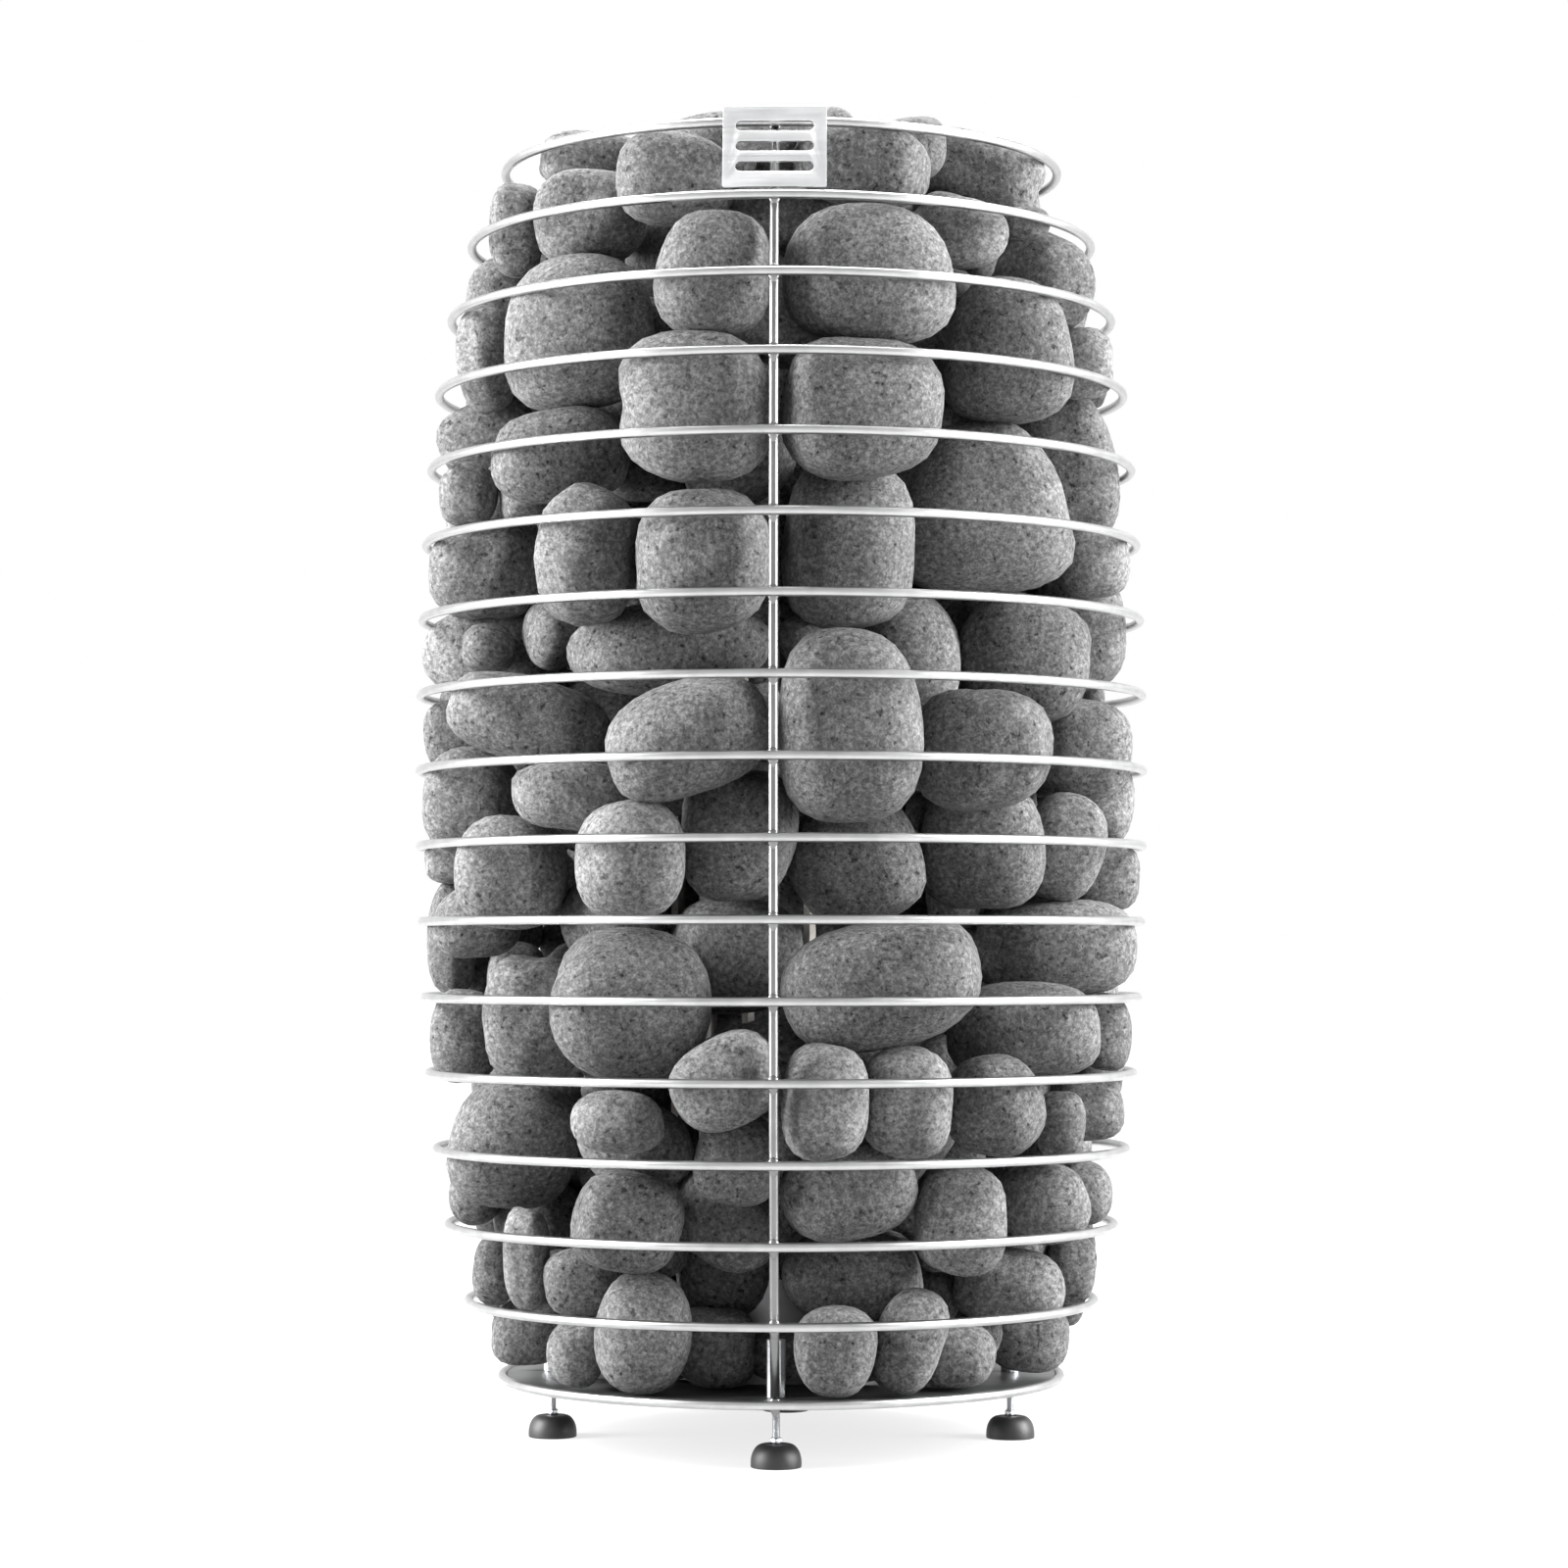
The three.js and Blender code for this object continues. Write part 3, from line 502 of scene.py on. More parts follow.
def make_rings():
    """Each ring is a torus whose section swells a little at the butt weld, which lies at the back."""
    angle = 2 * np.pi * np.arange(RING_STEPS) / RING_STEPS - np.pi / 2
    around = 2 * np.pi * np.arange(RING_SIDES) / RING_SIDES
    for ring in range(RING_COUNT):
        big, height = RING_RADII[ring], RING_HEIGHTS[ring]
        seam = np.pi / 2 + SEAM_STRAY * math.sin(SEAM_TURN * ring)
        off = np.abs((angle - seam + np.pi) % (2 * np.pi) - np.pi) * big
        small = WIRE_RADIUS * (1 + SEAM_SWELL * np.exp(-((off / SEAM_LENGTH) ** 2)))
        reach = big + small[:, None] * np.cos(around)
        z = height + small[:, None] * np.sin(around)
        points = np.stack([reach * np.cos(angle)[:, None], reach * np.sin(angle)[:, None], z], -1)
        along = np.broadcast_to((angle * big)[:, None], z.shape)
        across = np.broadcast_to((around * WIRE_RADIUS)[None], z.shape)
        uv = np.stack([along, across], -1).reshape(-1, 2)
        faces = grid_faces(RING_STEPS, RING_SIDES, close_rows=True)[:, ::-1]
        name = "ring_%02d" % (ring + 1)
        points = points.reshape(-1, 3)
        make_piece("wire_" + name, points, faces, WIRE, "heater", [name], uv=uv)


ROD_SIDES = 14
ROD_START = 1 * MM           # clear of the base
BEAD_WIDTH = 4.2 * MM
BEAD_HEIGHT = 6.5 * MM
BEAD_DEPTH = 2.2 * MM
BEAD_SAG = 1.2 * MM          # its middle below the wire's
BEAD_POINT = 0.55            # how far it narrows below


def capped(points, sides):
    """Adds a middle point at each end of a tube and fans it shut."""
    count = len(points)
    ends = np.stack([points[:sides].mean(0), points[-sides:].mean(0)])
    step = np.arange(sides)
    after = (step + 1) % sides
    first = np.stack([np.full(sides, count), after, step], -1)
    last = np.stack([np.full(sides, count + 1), count - sides + step, count - sides + after], -1)
    return np.concatenate([points, ends]), np.concatenate([first, last])


def ball(halves, centre, axes, drop, rows=8, columns=12):
    """Ellipsoid on its own axes, narrowed towards its lower end by the drop."""
    up = np.pi * np.arange(rows + 1) / rows
    turn = 2 * np.pi * np.arange(columns) / columns
    z = -np.cos(up)[:, None] + 0 * turn
    thin = 1 - drop * np.clip(-z, 0, 1)
    x = np.sin(up)[:, None] * np.cos(turn) * thin
    y = np.sin(up)[:, None] * np.sin(turn) * thin
    points = np.stack([x, y, z], -1).reshape(-1, 3) * halves
    return weld(centre + points @ axes, grid_faces(rows + 1, columns))


def make_uprights():
    """Each upright is a round rod on the rings' inner side, with a weld bead at every crossing."""
    start, end = BASE_TOP + SEAT_GAP + ROD_START, RING_HEIGHTS[-1] + WIRE_RADIUS
    heights = np.concatenate([[start], RING_HEIGHTS[1:-1], [end]])
    reach = basket_radius(heights) - WIRE_RADIUS - SEAT_GAP - UPRIGHT_RADIUS
    for name, degrees in UPRIGHT_ANGLES.items():
        angle = math.radians(degrees)
        out = np.array([math.cos(angle), math.sin(angle), 0])
        side = np.array([-math.sin(angle), math.cos(angle), 0])
        path = reach[:, None] * out + np.stack([0 * heights, 0 * heights, heights], -1)
        points, faces = tube(path, UPRIGHT_RADIUS, ROD_SIDES, side)
        points, ends = capped(points, ROD_SIDES)
        parts = [(points, list(faces) + list(ends))]
        axes = np.stack([out, side, [0, 0, 1]])
        halves = np.array([BEAD_DEPTH, BEAD_WIDTH, BEAD_HEIGHT])
        for ring in range(RING_COUNT):
            contact = RING_RADII[ring] - WIRE_RADIUS
            centre = contact * out + np.array([0, 0, RING_HEIGHTS[ring] - BEAD_SAG])
            parts.append(ball(halves, centre, axes, BEAD_POINT))
        points, faces = join(parts)
        uv = np.stack([points[:, 2], points @ side], -1)
        # Rods and weld beads take the darker copy of the wire steel: painted shade.
        make_piece("rod_" + name, points, faces, PAINTED_SHADE_ROD, "heater", ["upright_" + name], uv=uv)


# Sheet pieces

SHARP_ANGLE = 35             # degrees between two faces past which their edge shows


def circle(radius, count, x=0.0, y=0.0):
    """Points round a circle, at equal steps of the angle."""
    angle = 2 * np.pi * np.arange(count) / count
    return np.stack([x + radius * np.cos(angle), y + radius * np.sin(angle)], -1)


def rounded_box(width, height, corner, steps=6):
    """Rectangle standing on y = 0 with quarter circles at its corners."""
    middle = np.array([[1, 1], [-1, 1], [-1, -1], [1, -1]]) * [width / 2 - corner, height / 2 - corner]
    turn = np.pi / 2 * np.arange(steps + 1) / steps
    arcs = []
    for quarter, centre in enumerate(middle):
        angle = turn + quarter * np.pi / 2
        arcs.append(centre + corner * np.stack([np.cos(angle), np.sin(angle)], -1))
    return np.concatenate(arcs) + [0, height / 2]


def cut_sheet(outlines, thickness, edge):
    """Sheet with holes and soft edges: a filled flat curve, raised and bevelled, as points and faces."""
    curve = bpy.data.curves.new("cut", "CURVE")
    curve.dimensions = "2D"
    curve.fill_mode = "BOTH"
    curve.extrude = thickness / 2 - edge
    curve.bevel_depth = edge
    curve.bevel_resolution = 1
    curve.offset = -edge
    for outline in outlines:
        spline = curve.splines.new("POLY")
        spline.points.add(len(outline) - 1)
        flat = np.concatenate([outline, np.zeros((len(outline), 1)), np.ones((len(outline), 1))], 1)
        spline.points.foreach_set("co", flat.ravel())
        spline.use_cyclic_u = True
    holder = bpy.data.objects.new("cut", curve)
    mesh = bpy.data.meshes.new_from_object(holder)
    points = np.zeros(len(mesh.vertices) * 3)
    mesh.vertices.foreach_get("co", points)
    faces = [list(p.vertices) for p in mesh.polygons]
    bpy.data.objects.remove(holder)
    bpy.data.curves.remove(curve)
    bpy.data.meshes.remove(mesh)
    return weld(points.reshape(-1, 3), faces)


def flat_shaded(piece, degrees=SHARP_ANGLE):
    """Keeps a sheet's faces flat and its rounded edges smooth."""
    piece.data.set_sharp_from_angle(angle=math.radians(degrees))


PLATE_WIDTH = 65 * MM
PLATE_THICKNESS = 2 * MM
PLATE_OVERHANG = 8.4 * MM
PLATE_CORNER = 1.5 * MM
PLATE_EDGE = 0.35 * MM
SLOT_COUNT = 3
SLOT_HEIGHT = 7 * MM
SLOT_MARGIN = 8 * MM
SLOT_CORNER = SLOT_HEIGHT / 2 - 1e-5   # almost half round, so that no side has zero length
SLOT_STEPS = 10


def make_front_plate():
    """Bare plate with three plain slots, standing on one ring and leaning on the ring above."""
    lower = np.array([RING_RADII[-2], RING_HEIGHTS[-2]])
    upper = np.array([RING_RADII[-1], RING_HEIGHTS[-1]])
    span = np.linalg.norm(upper - lower)
    off = WIRE_RADIUS + SEAT_GAP + PLATE_THICKNESS / 2
    tilt = math.atan2(lower[0] - upper[0], upper[1] - lower[1]) - math.asin(off / span)
    foot = WIRE_RADIUS + SEAT_GAP + PLATE_WIDTH / 2 * math.tan(math.pi / RING_FLATS) * math.sin(tilt)
    length = math.sqrt(span**2 - off**2) + PLATE_OVERHANG - foot
    outlines = [rounded_box(PLATE_WIDTH, length, PLATE_CORNER)]
    for slot in range(SLOT_COUNT):
        outline = rounded_box(PLATE_WIDTH - 2 * SLOT_MARGIN, SLOT_HEIGHT, SLOT_CORNER, SLOT_STEPS)
        outlines.append(outline + [0, length * (slot + 1) / (SLOT_COUNT + 1) - SLOT_HEIGHT / 2])
    points, faces = cut_sheet(outlines, PLATE_THICKNESS, PLATE_EDGE)
    along, proud = points[:, 1] + foot, points[:, 2]
    placed = np.stack([
        points[:, 0],
        -lower[0] + along * math.sin(tilt) - proud * math.cos(tilt),
        lower[1] + along * math.cos(tilt) + proud * math.sin(tilt),
    ], -1)
    flat_shaded(make_piece("bare_plate", placed, faces, PLATE, "heater", ["front_plate"]))


# Feet

FOOT_INSET = 33 * MM
FOOT_CIRCLE = RING_RADII[0] - FOOT_INSET
FEET = {
    "front": (0, -FOOT_CIRCLE), "right": (FOOT_CIRCLE, 0),
    "rear": (0, FOOT_CIRCLE), "left": (-FOOT_CIRCLE, 0),
}
PAD_SIDES = 56
PAD_SHARP_ANGLE = 50
PAD_RADIUS = 16 * MM
PAD_HEIGHT = 14.5 * MM
PAD_CROWN = 8.5 * MM         # radius of the flat round the stud
PAD_RIM = 3 * MM             # height where the dome starts
PAD_EDGE = 0.6 * MM
PAD_EDGE_STEPS = 6
PAD_DOME_STEPS = 14
PAD_BORE_GAP = 0.35 * MM
PAD_BORE_EDGE = 0.4 * MM
PAD_SOCKET_DEPTH = 7 * MM
STUD_RADIUS = 2.5 * MM
STUD_TOP = 61.5 * MM
STUD_SHARP_ANGLE = 40
THREAD_PITCH = 0.8 * MM
THREAD_DEPTH = 0.45 * MM
THREAD_STEPS = 6             # rows for each turn
THREAD_SIDES = 24
THREAD_EASE = 0.02 * MM
COLLAR_FLATS = 7 * MM
COLLAR_HEIGHT = 3.5 * MM
COLLAR_SIDES = 60
COLLAR_PROFILE = (           # largest radius as a share of the flats', height as a share
    (0, 0), (0.92, 0), (1.03, 0.14), (1.2, 0.3), (1.2, 0.7), (1.03, 0.86), (0.92, 1), (0, 1),
)


def pad_profile():
    """Flat underside, rounded rim, quarter-round dome, and a blind socket in the crown."""
    turn = np.linspace(0, np.pi / 2, PAD_EDGE_STEPS)
    foot = np.stack([
        PAD_RADIUS - PAD_EDGE + PAD_EDGE * np.sin(turn),
        PAD_EDGE - PAD_EDGE * np.cos(turn),
    ], -1)
    turn = np.linspace(0, np.pi / 2, PAD_DOME_STEPS)
    dome = np.stack([
        PAD_CROWN + (PAD_RADIUS - PAD_CROWN) * np.cos(turn),
        PAD_RIM + (PAD_HEIGHT - PAD_RIM) * np.sin(turn),
    ], -1)
    bore = STUD_RADIUS + PAD_BORE_GAP
    floor = PAD_HEIGHT - PAD_SOCKET_DEPTH
    socket = np.array([
        [bore + PAD_BORE_EDGE, PAD_HEIGHT], [bore, PAD_HEIGHT - PAD_BORE_EDGE], [bore, floor], [0, floor],
    ])
    return np.concatenate([[[0, 0]], foot, dome, socket])


def thread(bottom, top):
    """Screw thread: a radius that rises and falls with the height less a share of the turn.

    It runs out to a blank at both ends.
    """
    rows = int(round((top - bottom) / THREAD_PITCH * THREAD_STEPS)) + 1
    z = np.linspace(bottom, top, rows)
    turn = 2 * np.pi * np.arange(THREAD_SIDES) / THREAD_SIDES
    phase = (z[:, None] / THREAD_PITCH - turn[None] / (2 * np.pi)) % 1
    groove = THREAD_DEPTH * np.abs(2 * phase - 1)
    runout = np.clip(np.minimum(z - bottom, top - z) / (2 * THREAD_PITCH), 0, 1)
    radius = STUD_RADIUS - groove * runout[:, None] - THREAD_EASE
    height = np.broadcast_to(z[:, None], radius.shape)
    points = np.stack([radius * np.cos(turn), radius * np.sin(turn), height], -1)
    return points.reshape(-1, 3), grid_faces(rows, THREAD_SIDES)


def collar_body():
    """Hexagon collar: the flats' radius by the turn, its corners cut round above and below."""
    turn = 2 * np.pi * np.arange(COLLAR_SIDES) / COLLAR_SIDES
    flat = COLLAR_FLATS / 2
    hexagon = flat / np.cos((turn + np.pi / 6) % (np.pi / 3) - np.pi / 6)
    bottom = PAD_HEIGHT + SEAT_GAP
    rows = []
    for share, height in COLLAR_PROFILE:
        radius = np.minimum(hexagon, share * flat)
        level = 0 * turn + bottom + height * COLLAR_HEIGHT
        rows.append(np.stack([radius * np.cos(turn), radius * np.sin(turn), level], -1))
    return weld(np.concatenate(rows), grid_faces(len(rows), COLLAR_SIDES))


def make_feet():
    """Each foot is a turned pad and a threaded stud with its collar, each on a body of its own."""
    for name, (x, y) in FEET.items():
        body, node = "pad_" + name, "foot_pad_" + name
        points, faces = revolve(pad_profile(), PAD_SIDES, (x, y))
        pad = make_piece(body, points, faces, PLASTIC, body, [node])
        flat_shaded(pad, PAD_SHARP_ANGLE)
        body, node = "stud_" + name, "foot_stud_" + name
        points, faces = thread(PAD_HEIGHT - PAD_SOCKET_DEPTH + SEAT_GAP, STUD_TOP)
        points, ends = capped(points, THREAD_SIDES)
        points, faces = join([(points, list(faces) + list(ends)), collar_body()])
        stud = make_piece(body, points + [x, y, 0], faces, ZINC, body, [node])
        flat_shaded(stud, STUD_SHARP_ANGLE)


# Base and fittings

BASE_MIDDLE = 42 * MM
BASE_THICKNESS = 3 * MM
BASE_EDGE = 0.4 * MM
BASE_STEPS = 144
OPENING_RADIUS = 79 * MM
OPENING_STEPS = 96
STUD_HOLE_RADIUS = 2.9 * MM
STUD_HOLE_STEPS = 28


def make_base():
    """Round sheet inside the bottom ring, with an opening in the middle and a hole for each stud."""
    holes = [circle(STUD_HOLE_RADIUS, STUD_HOLE_STEPS, x, y) for x, y in FEET.values()]
    outer = circle(RING_RADII[0] - WIRE_RADIUS - SEAT_GAP, BASE_STEPS)
    opening = circle(OPENING_RADIUS, OPENING_STEPS)
    points, faces = cut_sheet([outer, opening] + holes, BASE_THICKNESS, BASE_EDGE)
    points = points + [0, 0, BASE_MIDDLE]
    flat_shaded(make_piece("base", points, faces, SHEET, "heater", ["base_plate"]))


def dress_solids():
    """Finishes for what keeps its solid: the fittings, and the stones between the elements."""
    looks = {
        "foot_socket": ZINC, "heating_element": SHEATH, "element_carrier": SHEET, "element_spacer": SHEET,
        "terminal_box": SHEET, "terminal_cover": SHEET, "terminal_block": CERAMIC, "cable_gland": PLASTIC,
        "stones_core": STONE,
    }
    for name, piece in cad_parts.items():
        for start, material in looks.items():
            if name.startswith(start):
                piece.data.materials.clear()
                piece.data.materials.append(material)


# Stones

POWERS = (2.35, 3.1)         # least and most, from round to boxy
CUT_COUNT = 4
CUT_REACH = 0.8
CUT_POWER = 4
WAVE_COUNT = 3
WAVE_RATE = 3
WAVE_HEIGHT = 0.02
REACH_SLACK = 1.25
FRONT_WEIGHT = 0.55          # how strongly random cuts shape a stone that the photograph shows
LOOSE_WEIGHT = 1.0
TOUCH = 0.74                 # how far two stones press together, 1 for none
LOOSE_HALVES = ((36, 50), (29, 41), (27, 35))   # least and most millimetres along, up and out
LOOSE_TURN = 0.6             # radians to each side, as the other turns are
OUTER_PASSES = ((350, 0.86), (450, 0.66), (600, 0.5), (700, 0.42))   # tries, smallest size
SIZES = (1.12, 1.0, 0.86, 0.74, 0.66, 0.58, 0.5, 0.42)
FRONT_INSET = 72 * MM        # further in, of stones that fill up behind the shown ones
FRONT_SMALLEST = 0.58
FRONT_GROWTH = 1.05          # a shown stone is hidden a little by its neighbours
LOW_ROW = 1335               # stones below this row of pixels lie on the base
FRONT_TRIES = (              # pixels that a shown stone may shift, and its size there
    (0, 1.0), (4, 1.0), (8, 0.98), (11, 0.96), (14, 0.93), (17, 0.9), (20, 0.85), (24, 0.76),
)
FRONT_NEAR = 0.26            # how far before and behind the heater's axis a shown stone is tried
FRONT_FAR = 0.06
FRONT_STEP = 1.5 * MM
FRONT_FACING = 0.3           # share of facing the camera from which small fill is left out
STUD_ROOM = 18 * MM
FRONT_STUD_ROOM = 10 * MM
FRONT_STUD_SIDE = 120        # pixels each side of the front stud where stones on the base move away from it
STUD_RISE = 12 * MM          # above the stud's top at rest
FILL_START = 0.015           # metres above the base
BOTTOM_COUNT = 24
BOTTOM_INSET = 24            # millimetres in from the bottom ring, and more at the front
BOTTOM_FRONT_INSET = 36
BOTTOM_REACH = 46
BOTTOM_STEP = 6
BOTTOM_LIFTS = (20, 24, 28, 32, 36, 42)   # millimetres above the base
BOTTOM_TURN = 0.2
GAP_STEP = 8                 # pixels between lines of sight
GAP_TOP = 150                # rows of pixels
GAP_BOTTOM = 1430
GAP_SIZES = (0.86, 0.7, 0.58, 0.48, 0.4, 0.33)
GAP_DEPTHS = (-60, 210, 8)   # millimetres past the heater's axis: first, end and step
SIGHT_POINTS = 9             # along a line of sight through a stone
CORE_REACH = 118 * MM        # stones that close gaps stay outside the elements and the core
OUTER_INSET = 22 * MM        # of a loose stone's middle from the wires, and how much further it is tried
INSET_REACH = 40 * MM
INSET_STEP = 4 * MM
HEAP_PASSES = ((60, 0.86), (90, 0.66), (120, 0.5))   # tries, smallest size
HEAP_DEPTHS = np.arange(15, 60, 4) * MM   # of a stone's middle below the heap's surface
BACKING_ROWS = 14
BACKING_COUNT = 13
BACKING_RADIUS = 132 * MM
BACKING_STEPS = (12, 0, -12, -24)   # millimetres out from that radius
BACKING_HALVES = (34, 32, 30)       # millimetres, and how far sizes spread
BACKING_SPREAD = (0.9, 1.1)
BACKING_STRAY = 0.12         # along the row, as a share of its pitch
BACKING_LIFT = 6             # millimetres up or down
BACKING_TURN = 0.5
BACKING_SIZES = (1.3, 1.15, 1.0, 0.86, 0.74, 0.62, 0.5)
OUTLINE_ROWS = 9             # rows above and below that an edge counts for
OUTLINE_SLACK = 2            # pixels


def sphere(rows, columns):
    """Unit directions row by row from pole to pole, and the faces between them."""
    up = np.pi * np.arange(rows + 1) / rows
    turn = 2 * np.pi * np.arange(columns) / columns
    x = np.sin(up)[:, None] * np.cos(turn)
    y = np.sin(up)[:, None] * np.sin(turn)
    z = -np.cos(up)[:, None] + 0 * turn
    return weld(np.stack([x, y, z], -1).reshape(-1, 3), grid_faces(rows + 1, columns), 1e-6)


FINE = sphere(20, 28)
COARSE = sphere(9, 14)
PROBE = sphere(7, 10)[0]


class Stone:
    """A pebble: its unit form, half sizes, axes as rows, middle, and how far it narrows upwards."""

    def __init__(self, rng, halves, axes, weight, taper=0.0):
        self.power = rng.uniform(*POWERS)
        self.cuts = rng.normal(size=(CUT_COUNT, 3))
        self.cuts /= np.linalg.norm(self.cuts, axis=1, keepdims=True)
        self.weight = weight
        self.waves = rng.normal(size=(WAVE_COUNT, 3))
        self.tone = rng.uniform()
        self.halves = np.asarray(halves, float)
        self.axes = np.asarray(axes, float)
        self.taper = taper
        self.middle = np.zeros(3)
        self.fine = True
        whole = self.form(FINE[0])
        self.low, self.high = whole.min(0), whole.max(0)
        self.probe = self.shaped(PROBE)

    def form(self, directions):
        """Reach in a direction is one over the power mean of its three shares and the cuts, with waves."""
        met = (np.abs(directions) ** self.power).sum(1)
        met += self.weight * (np.clip(CUT_REACH * directions @ self.cuts.T, 0, None) ** CUT_POWER).sum(1)
        wave = WAVE_HEIGHT * np.cos(WAVE_RATE * directions @ self.waves.T + self.waves.sum(1)).sum(1)
        return directions * (met ** (-1 / self.power) * (1 + wave))[:, None]

    def shaped(self, directions):
        """Offsets from the middle: the form in a unit box, narrowed, sized and turned onto the axes."""
        unit = (self.form(directions) - (self.low + self.high) / 2) / ((self.high - self.low) / 2)
        unit[:, 0] *= 1 - self.taper * unit[:, 1]
        return (unit * self.halves) @ self.axes

    def reach(self):
        """About how far the stone goes from its middle."""
        return self.halves.max() * REACH_SLACK

    def settle(self, seated, middles, scale, outline=None):
        """Takes the first of several places and sizes where it has room, and says whether there is one."""
        probes = middles[:, None] + scale[:, None, None] * self.probe[None]
        fits = room_left(probes).min(1) > 0
        fits &= off_studs(probes, STUD_ROOM if self.weight == LOOSE_WEIGHT else FRONT_STUD_ROOM).all(1)
        if outline is not None:
            fits &= in_outline(probes, outline).all(1)
        tried = np.flatnonzero(fits)
        if len(tried) == 0:
            return False
        clear = tried[clear_of(seated, self, middles[tried], scale[tried])]
        if len(clear) == 0:
            return False
        self.place(middles[clear[0]], scale[clear[0]])
        seated.append(self)
        return True

    def place(self, middle, scale):
        """Puts the stone at a place, made larger or smaller by the scale."""
        self.middle = middle
        self.halves = self.halves * scale
        self.probe = self.probe * scale


def heap_height(out):
    """Height of the heap's surface: its crown, less a fall with the square of the reach."""
    return HEAP_CROWN - HEAP_FALL * (out / HEAP_RADIUS) ** 2


def room_left(points):
    """How far points are inside the basket's limit: the wires, with a swell between them.

    Strips behind the uprights, the base below and the heap's surface above limit them too.
    """
    height = points[..., 2]
    out = np.hypot(points[..., 0], points[..., 1])
    wire = basket_radius(height)
    place = (height - BOTTOM_RING_HEIGHT) / RING_PITCH
    swell = BULGE * np.sin(np.pi * place) ** 2
    room = wire - WIRE_RADIUS - STONE_GAP + swell - out
    for degrees in UPRIGHT_ANGLES.values():
        c, s = math.cos(math.radians(degrees)), math.sin(math.radians(degrees))
        along = points[..., 0] * c + points[..., 1] * s
        aside = np.abs(points[..., 1] * c - points[..., 0] * s)
        rod = wire - WIRE_RADIUS - SEAT_GAP - 2 * UPRIGHT_RADIUS - STONE_GAP - along
        room = np.where((aside < ROD_SIDE) & (along > 0), np.minimum(room, rod), room)
    room = np.minimum(room, height - BASE_TOP - STONE_GAP)
    return np.minimum(room, heap_height(out) - height)


def off_studs(points, room):
    """Whether points keep off the studs where they stand up through the base."""
    clear = np.ones(points.shape[:-1], bool)
    for x, y in FEET.values():
        beside = np.hypot(points[..., 0] - x, points[..., 1] - y) > room
        clear &= beside | (points[..., 2] > STUD_TOP + STUD_RISE)
    return clear


def cubed_share(local):
    """Below 1 inside a box with cube-rounded edges."""
    local = np.abs(local)
    return (local * local * local).sum(-1)


def clear_of(seated, stone, middles, scale):
    """For each place: whether the stone meets no seated stone, by probing each with the other's skin."""
    clear = np.ones(len(middles), bool)
    reach = stone.reach() * scale.max()
    for other in seated:
        if np.linalg.norm(middles - other.middle, axis=1).min() > other.reach() + reach:
            continue
        probes = middles[:, None] + scale[:, None, None] * stone.probe[None]
        local = (probes - other.middle) @ other.axes.T / other.halves
        clear &= cubed_share(local).min(1) > TOUCH
        back = (other.middle + other.probe)[None] - middles[:, None]
        local = back @ stone.axes.T / (stone.halves * scale[:, None, None])
        clear &= cubed_share(local).min(1) > TOUCH
        if not clear.any():
            break
    return clear


def seat_front_stones(rng):
    """Each stone keeps its outline in the photograph and moves away from the camera until it has room.

    The lowest come first. One without room is shifted and made smaller, and left out where that fails.
    """
    seated = []
    depths = np.arange(CAMERA_DISTANCE - FRONT_NEAR, CAMERA_DISTANCE + FRONT_FAR, FRONT_STEP)
    for across, down, width, height, turn, taper in sorted(FRONT_STONES, key=lambda row: row[1] < LOW_ROW):
        tilt = math.radians(turn)
        right = RIGHT * math.cos(tilt) + UP * math.sin(tilt)
        over = UP * math.cos(tilt) - RIGHT * math.sin(tilt)
        sizes = FRONT_GROWTH * np.array([width, height, STONE_DEPTH * (width + height) / 2]) / FOCAL
        stone = Stone(rng, sizes / 2, [right, over, np.cross(right, over)], FRONT_WEIGHT, taper)
        inwards = math.copysign(1, PHOTO_CENTRE - across)
        if down > LOW_ROW and abs(PHOTO_CENTRE - across) < FRONT_STUD_SIDE:
            inwards = -inwards
        for shift, share in FRONT_TRIES:
            lift = shift if down > LOW_ROW else 0
            middles = EYE + depths[:, None] * sight(across + inwards * shift, down - lift)
            if stone.settle(seated, middles, share * depths):
                break
    return seated


def outline_of(seated):
    """Left and right edge of the front stones for each row of the photograph, from their skins."""
    left = np.full(PHOTO_WIDTH, float(PHOTO_CENTRE))
    right = np.full(PHOTO_WIDTH, float(PHOTO_CENTRE))
    for stone in seated:
        across, down = seen_at(stone.middle + stone.shaped(FINE[0]))
        rows = np.clip(down.astype(int), 0, PHOTO_WIDTH - 1)
        np.minimum.at(left, rows, across)
        np.maximum.at(right, rows, across)
    steps = range(-OUTLINE_ROWS, OUTLINE_ROWS + 1)
    left = np.min([np.roll(left, step) for step in steps], 0)
    return left, np.max([np.roll(right, step) for step in steps], 0)


def in_outline(points, outline):
    """Whether points stay inside the front stones' outline as the photograph shows it."""
    across, down = seen_at(points)
    rows = np.clip(down.astype(int), 0, PHOTO_WIDTH - 1)
    return (across > outline[0][rows] - OUTLINE_SLACK) & (across < outline[1][rows] + OUTLINE_SLACK)


def upright_axes(angle, turn):
    """Axes of a stone that faces outwards at an angle: along the ring and up, turned a little, and out."""
    out = np.array([math.cos(angle), math.sin(angle), 0])
    side = np.array([-math.sin(angle), math.cos(angle), 0])
    up = np.array([0, 0, 1.0])
    return [side * math.cos(turn) + up * math.sin(turn), up * math.cos(turn) - side * math.sin(turn), out]


def loose_halves(rng):
    """Half sizes of a loose stone, drawn one after another between least and most."""
    return np.array([rng.uniform(*span) for span in LOOSE_HALVES]) * MM


def choices(places, sizes):
    """Every place with every size, the largest size first."""
    middles = np.tile(places, (len(sizes), 1))
    return middles, np.repeat(np.asarray(sizes, float), len(places))


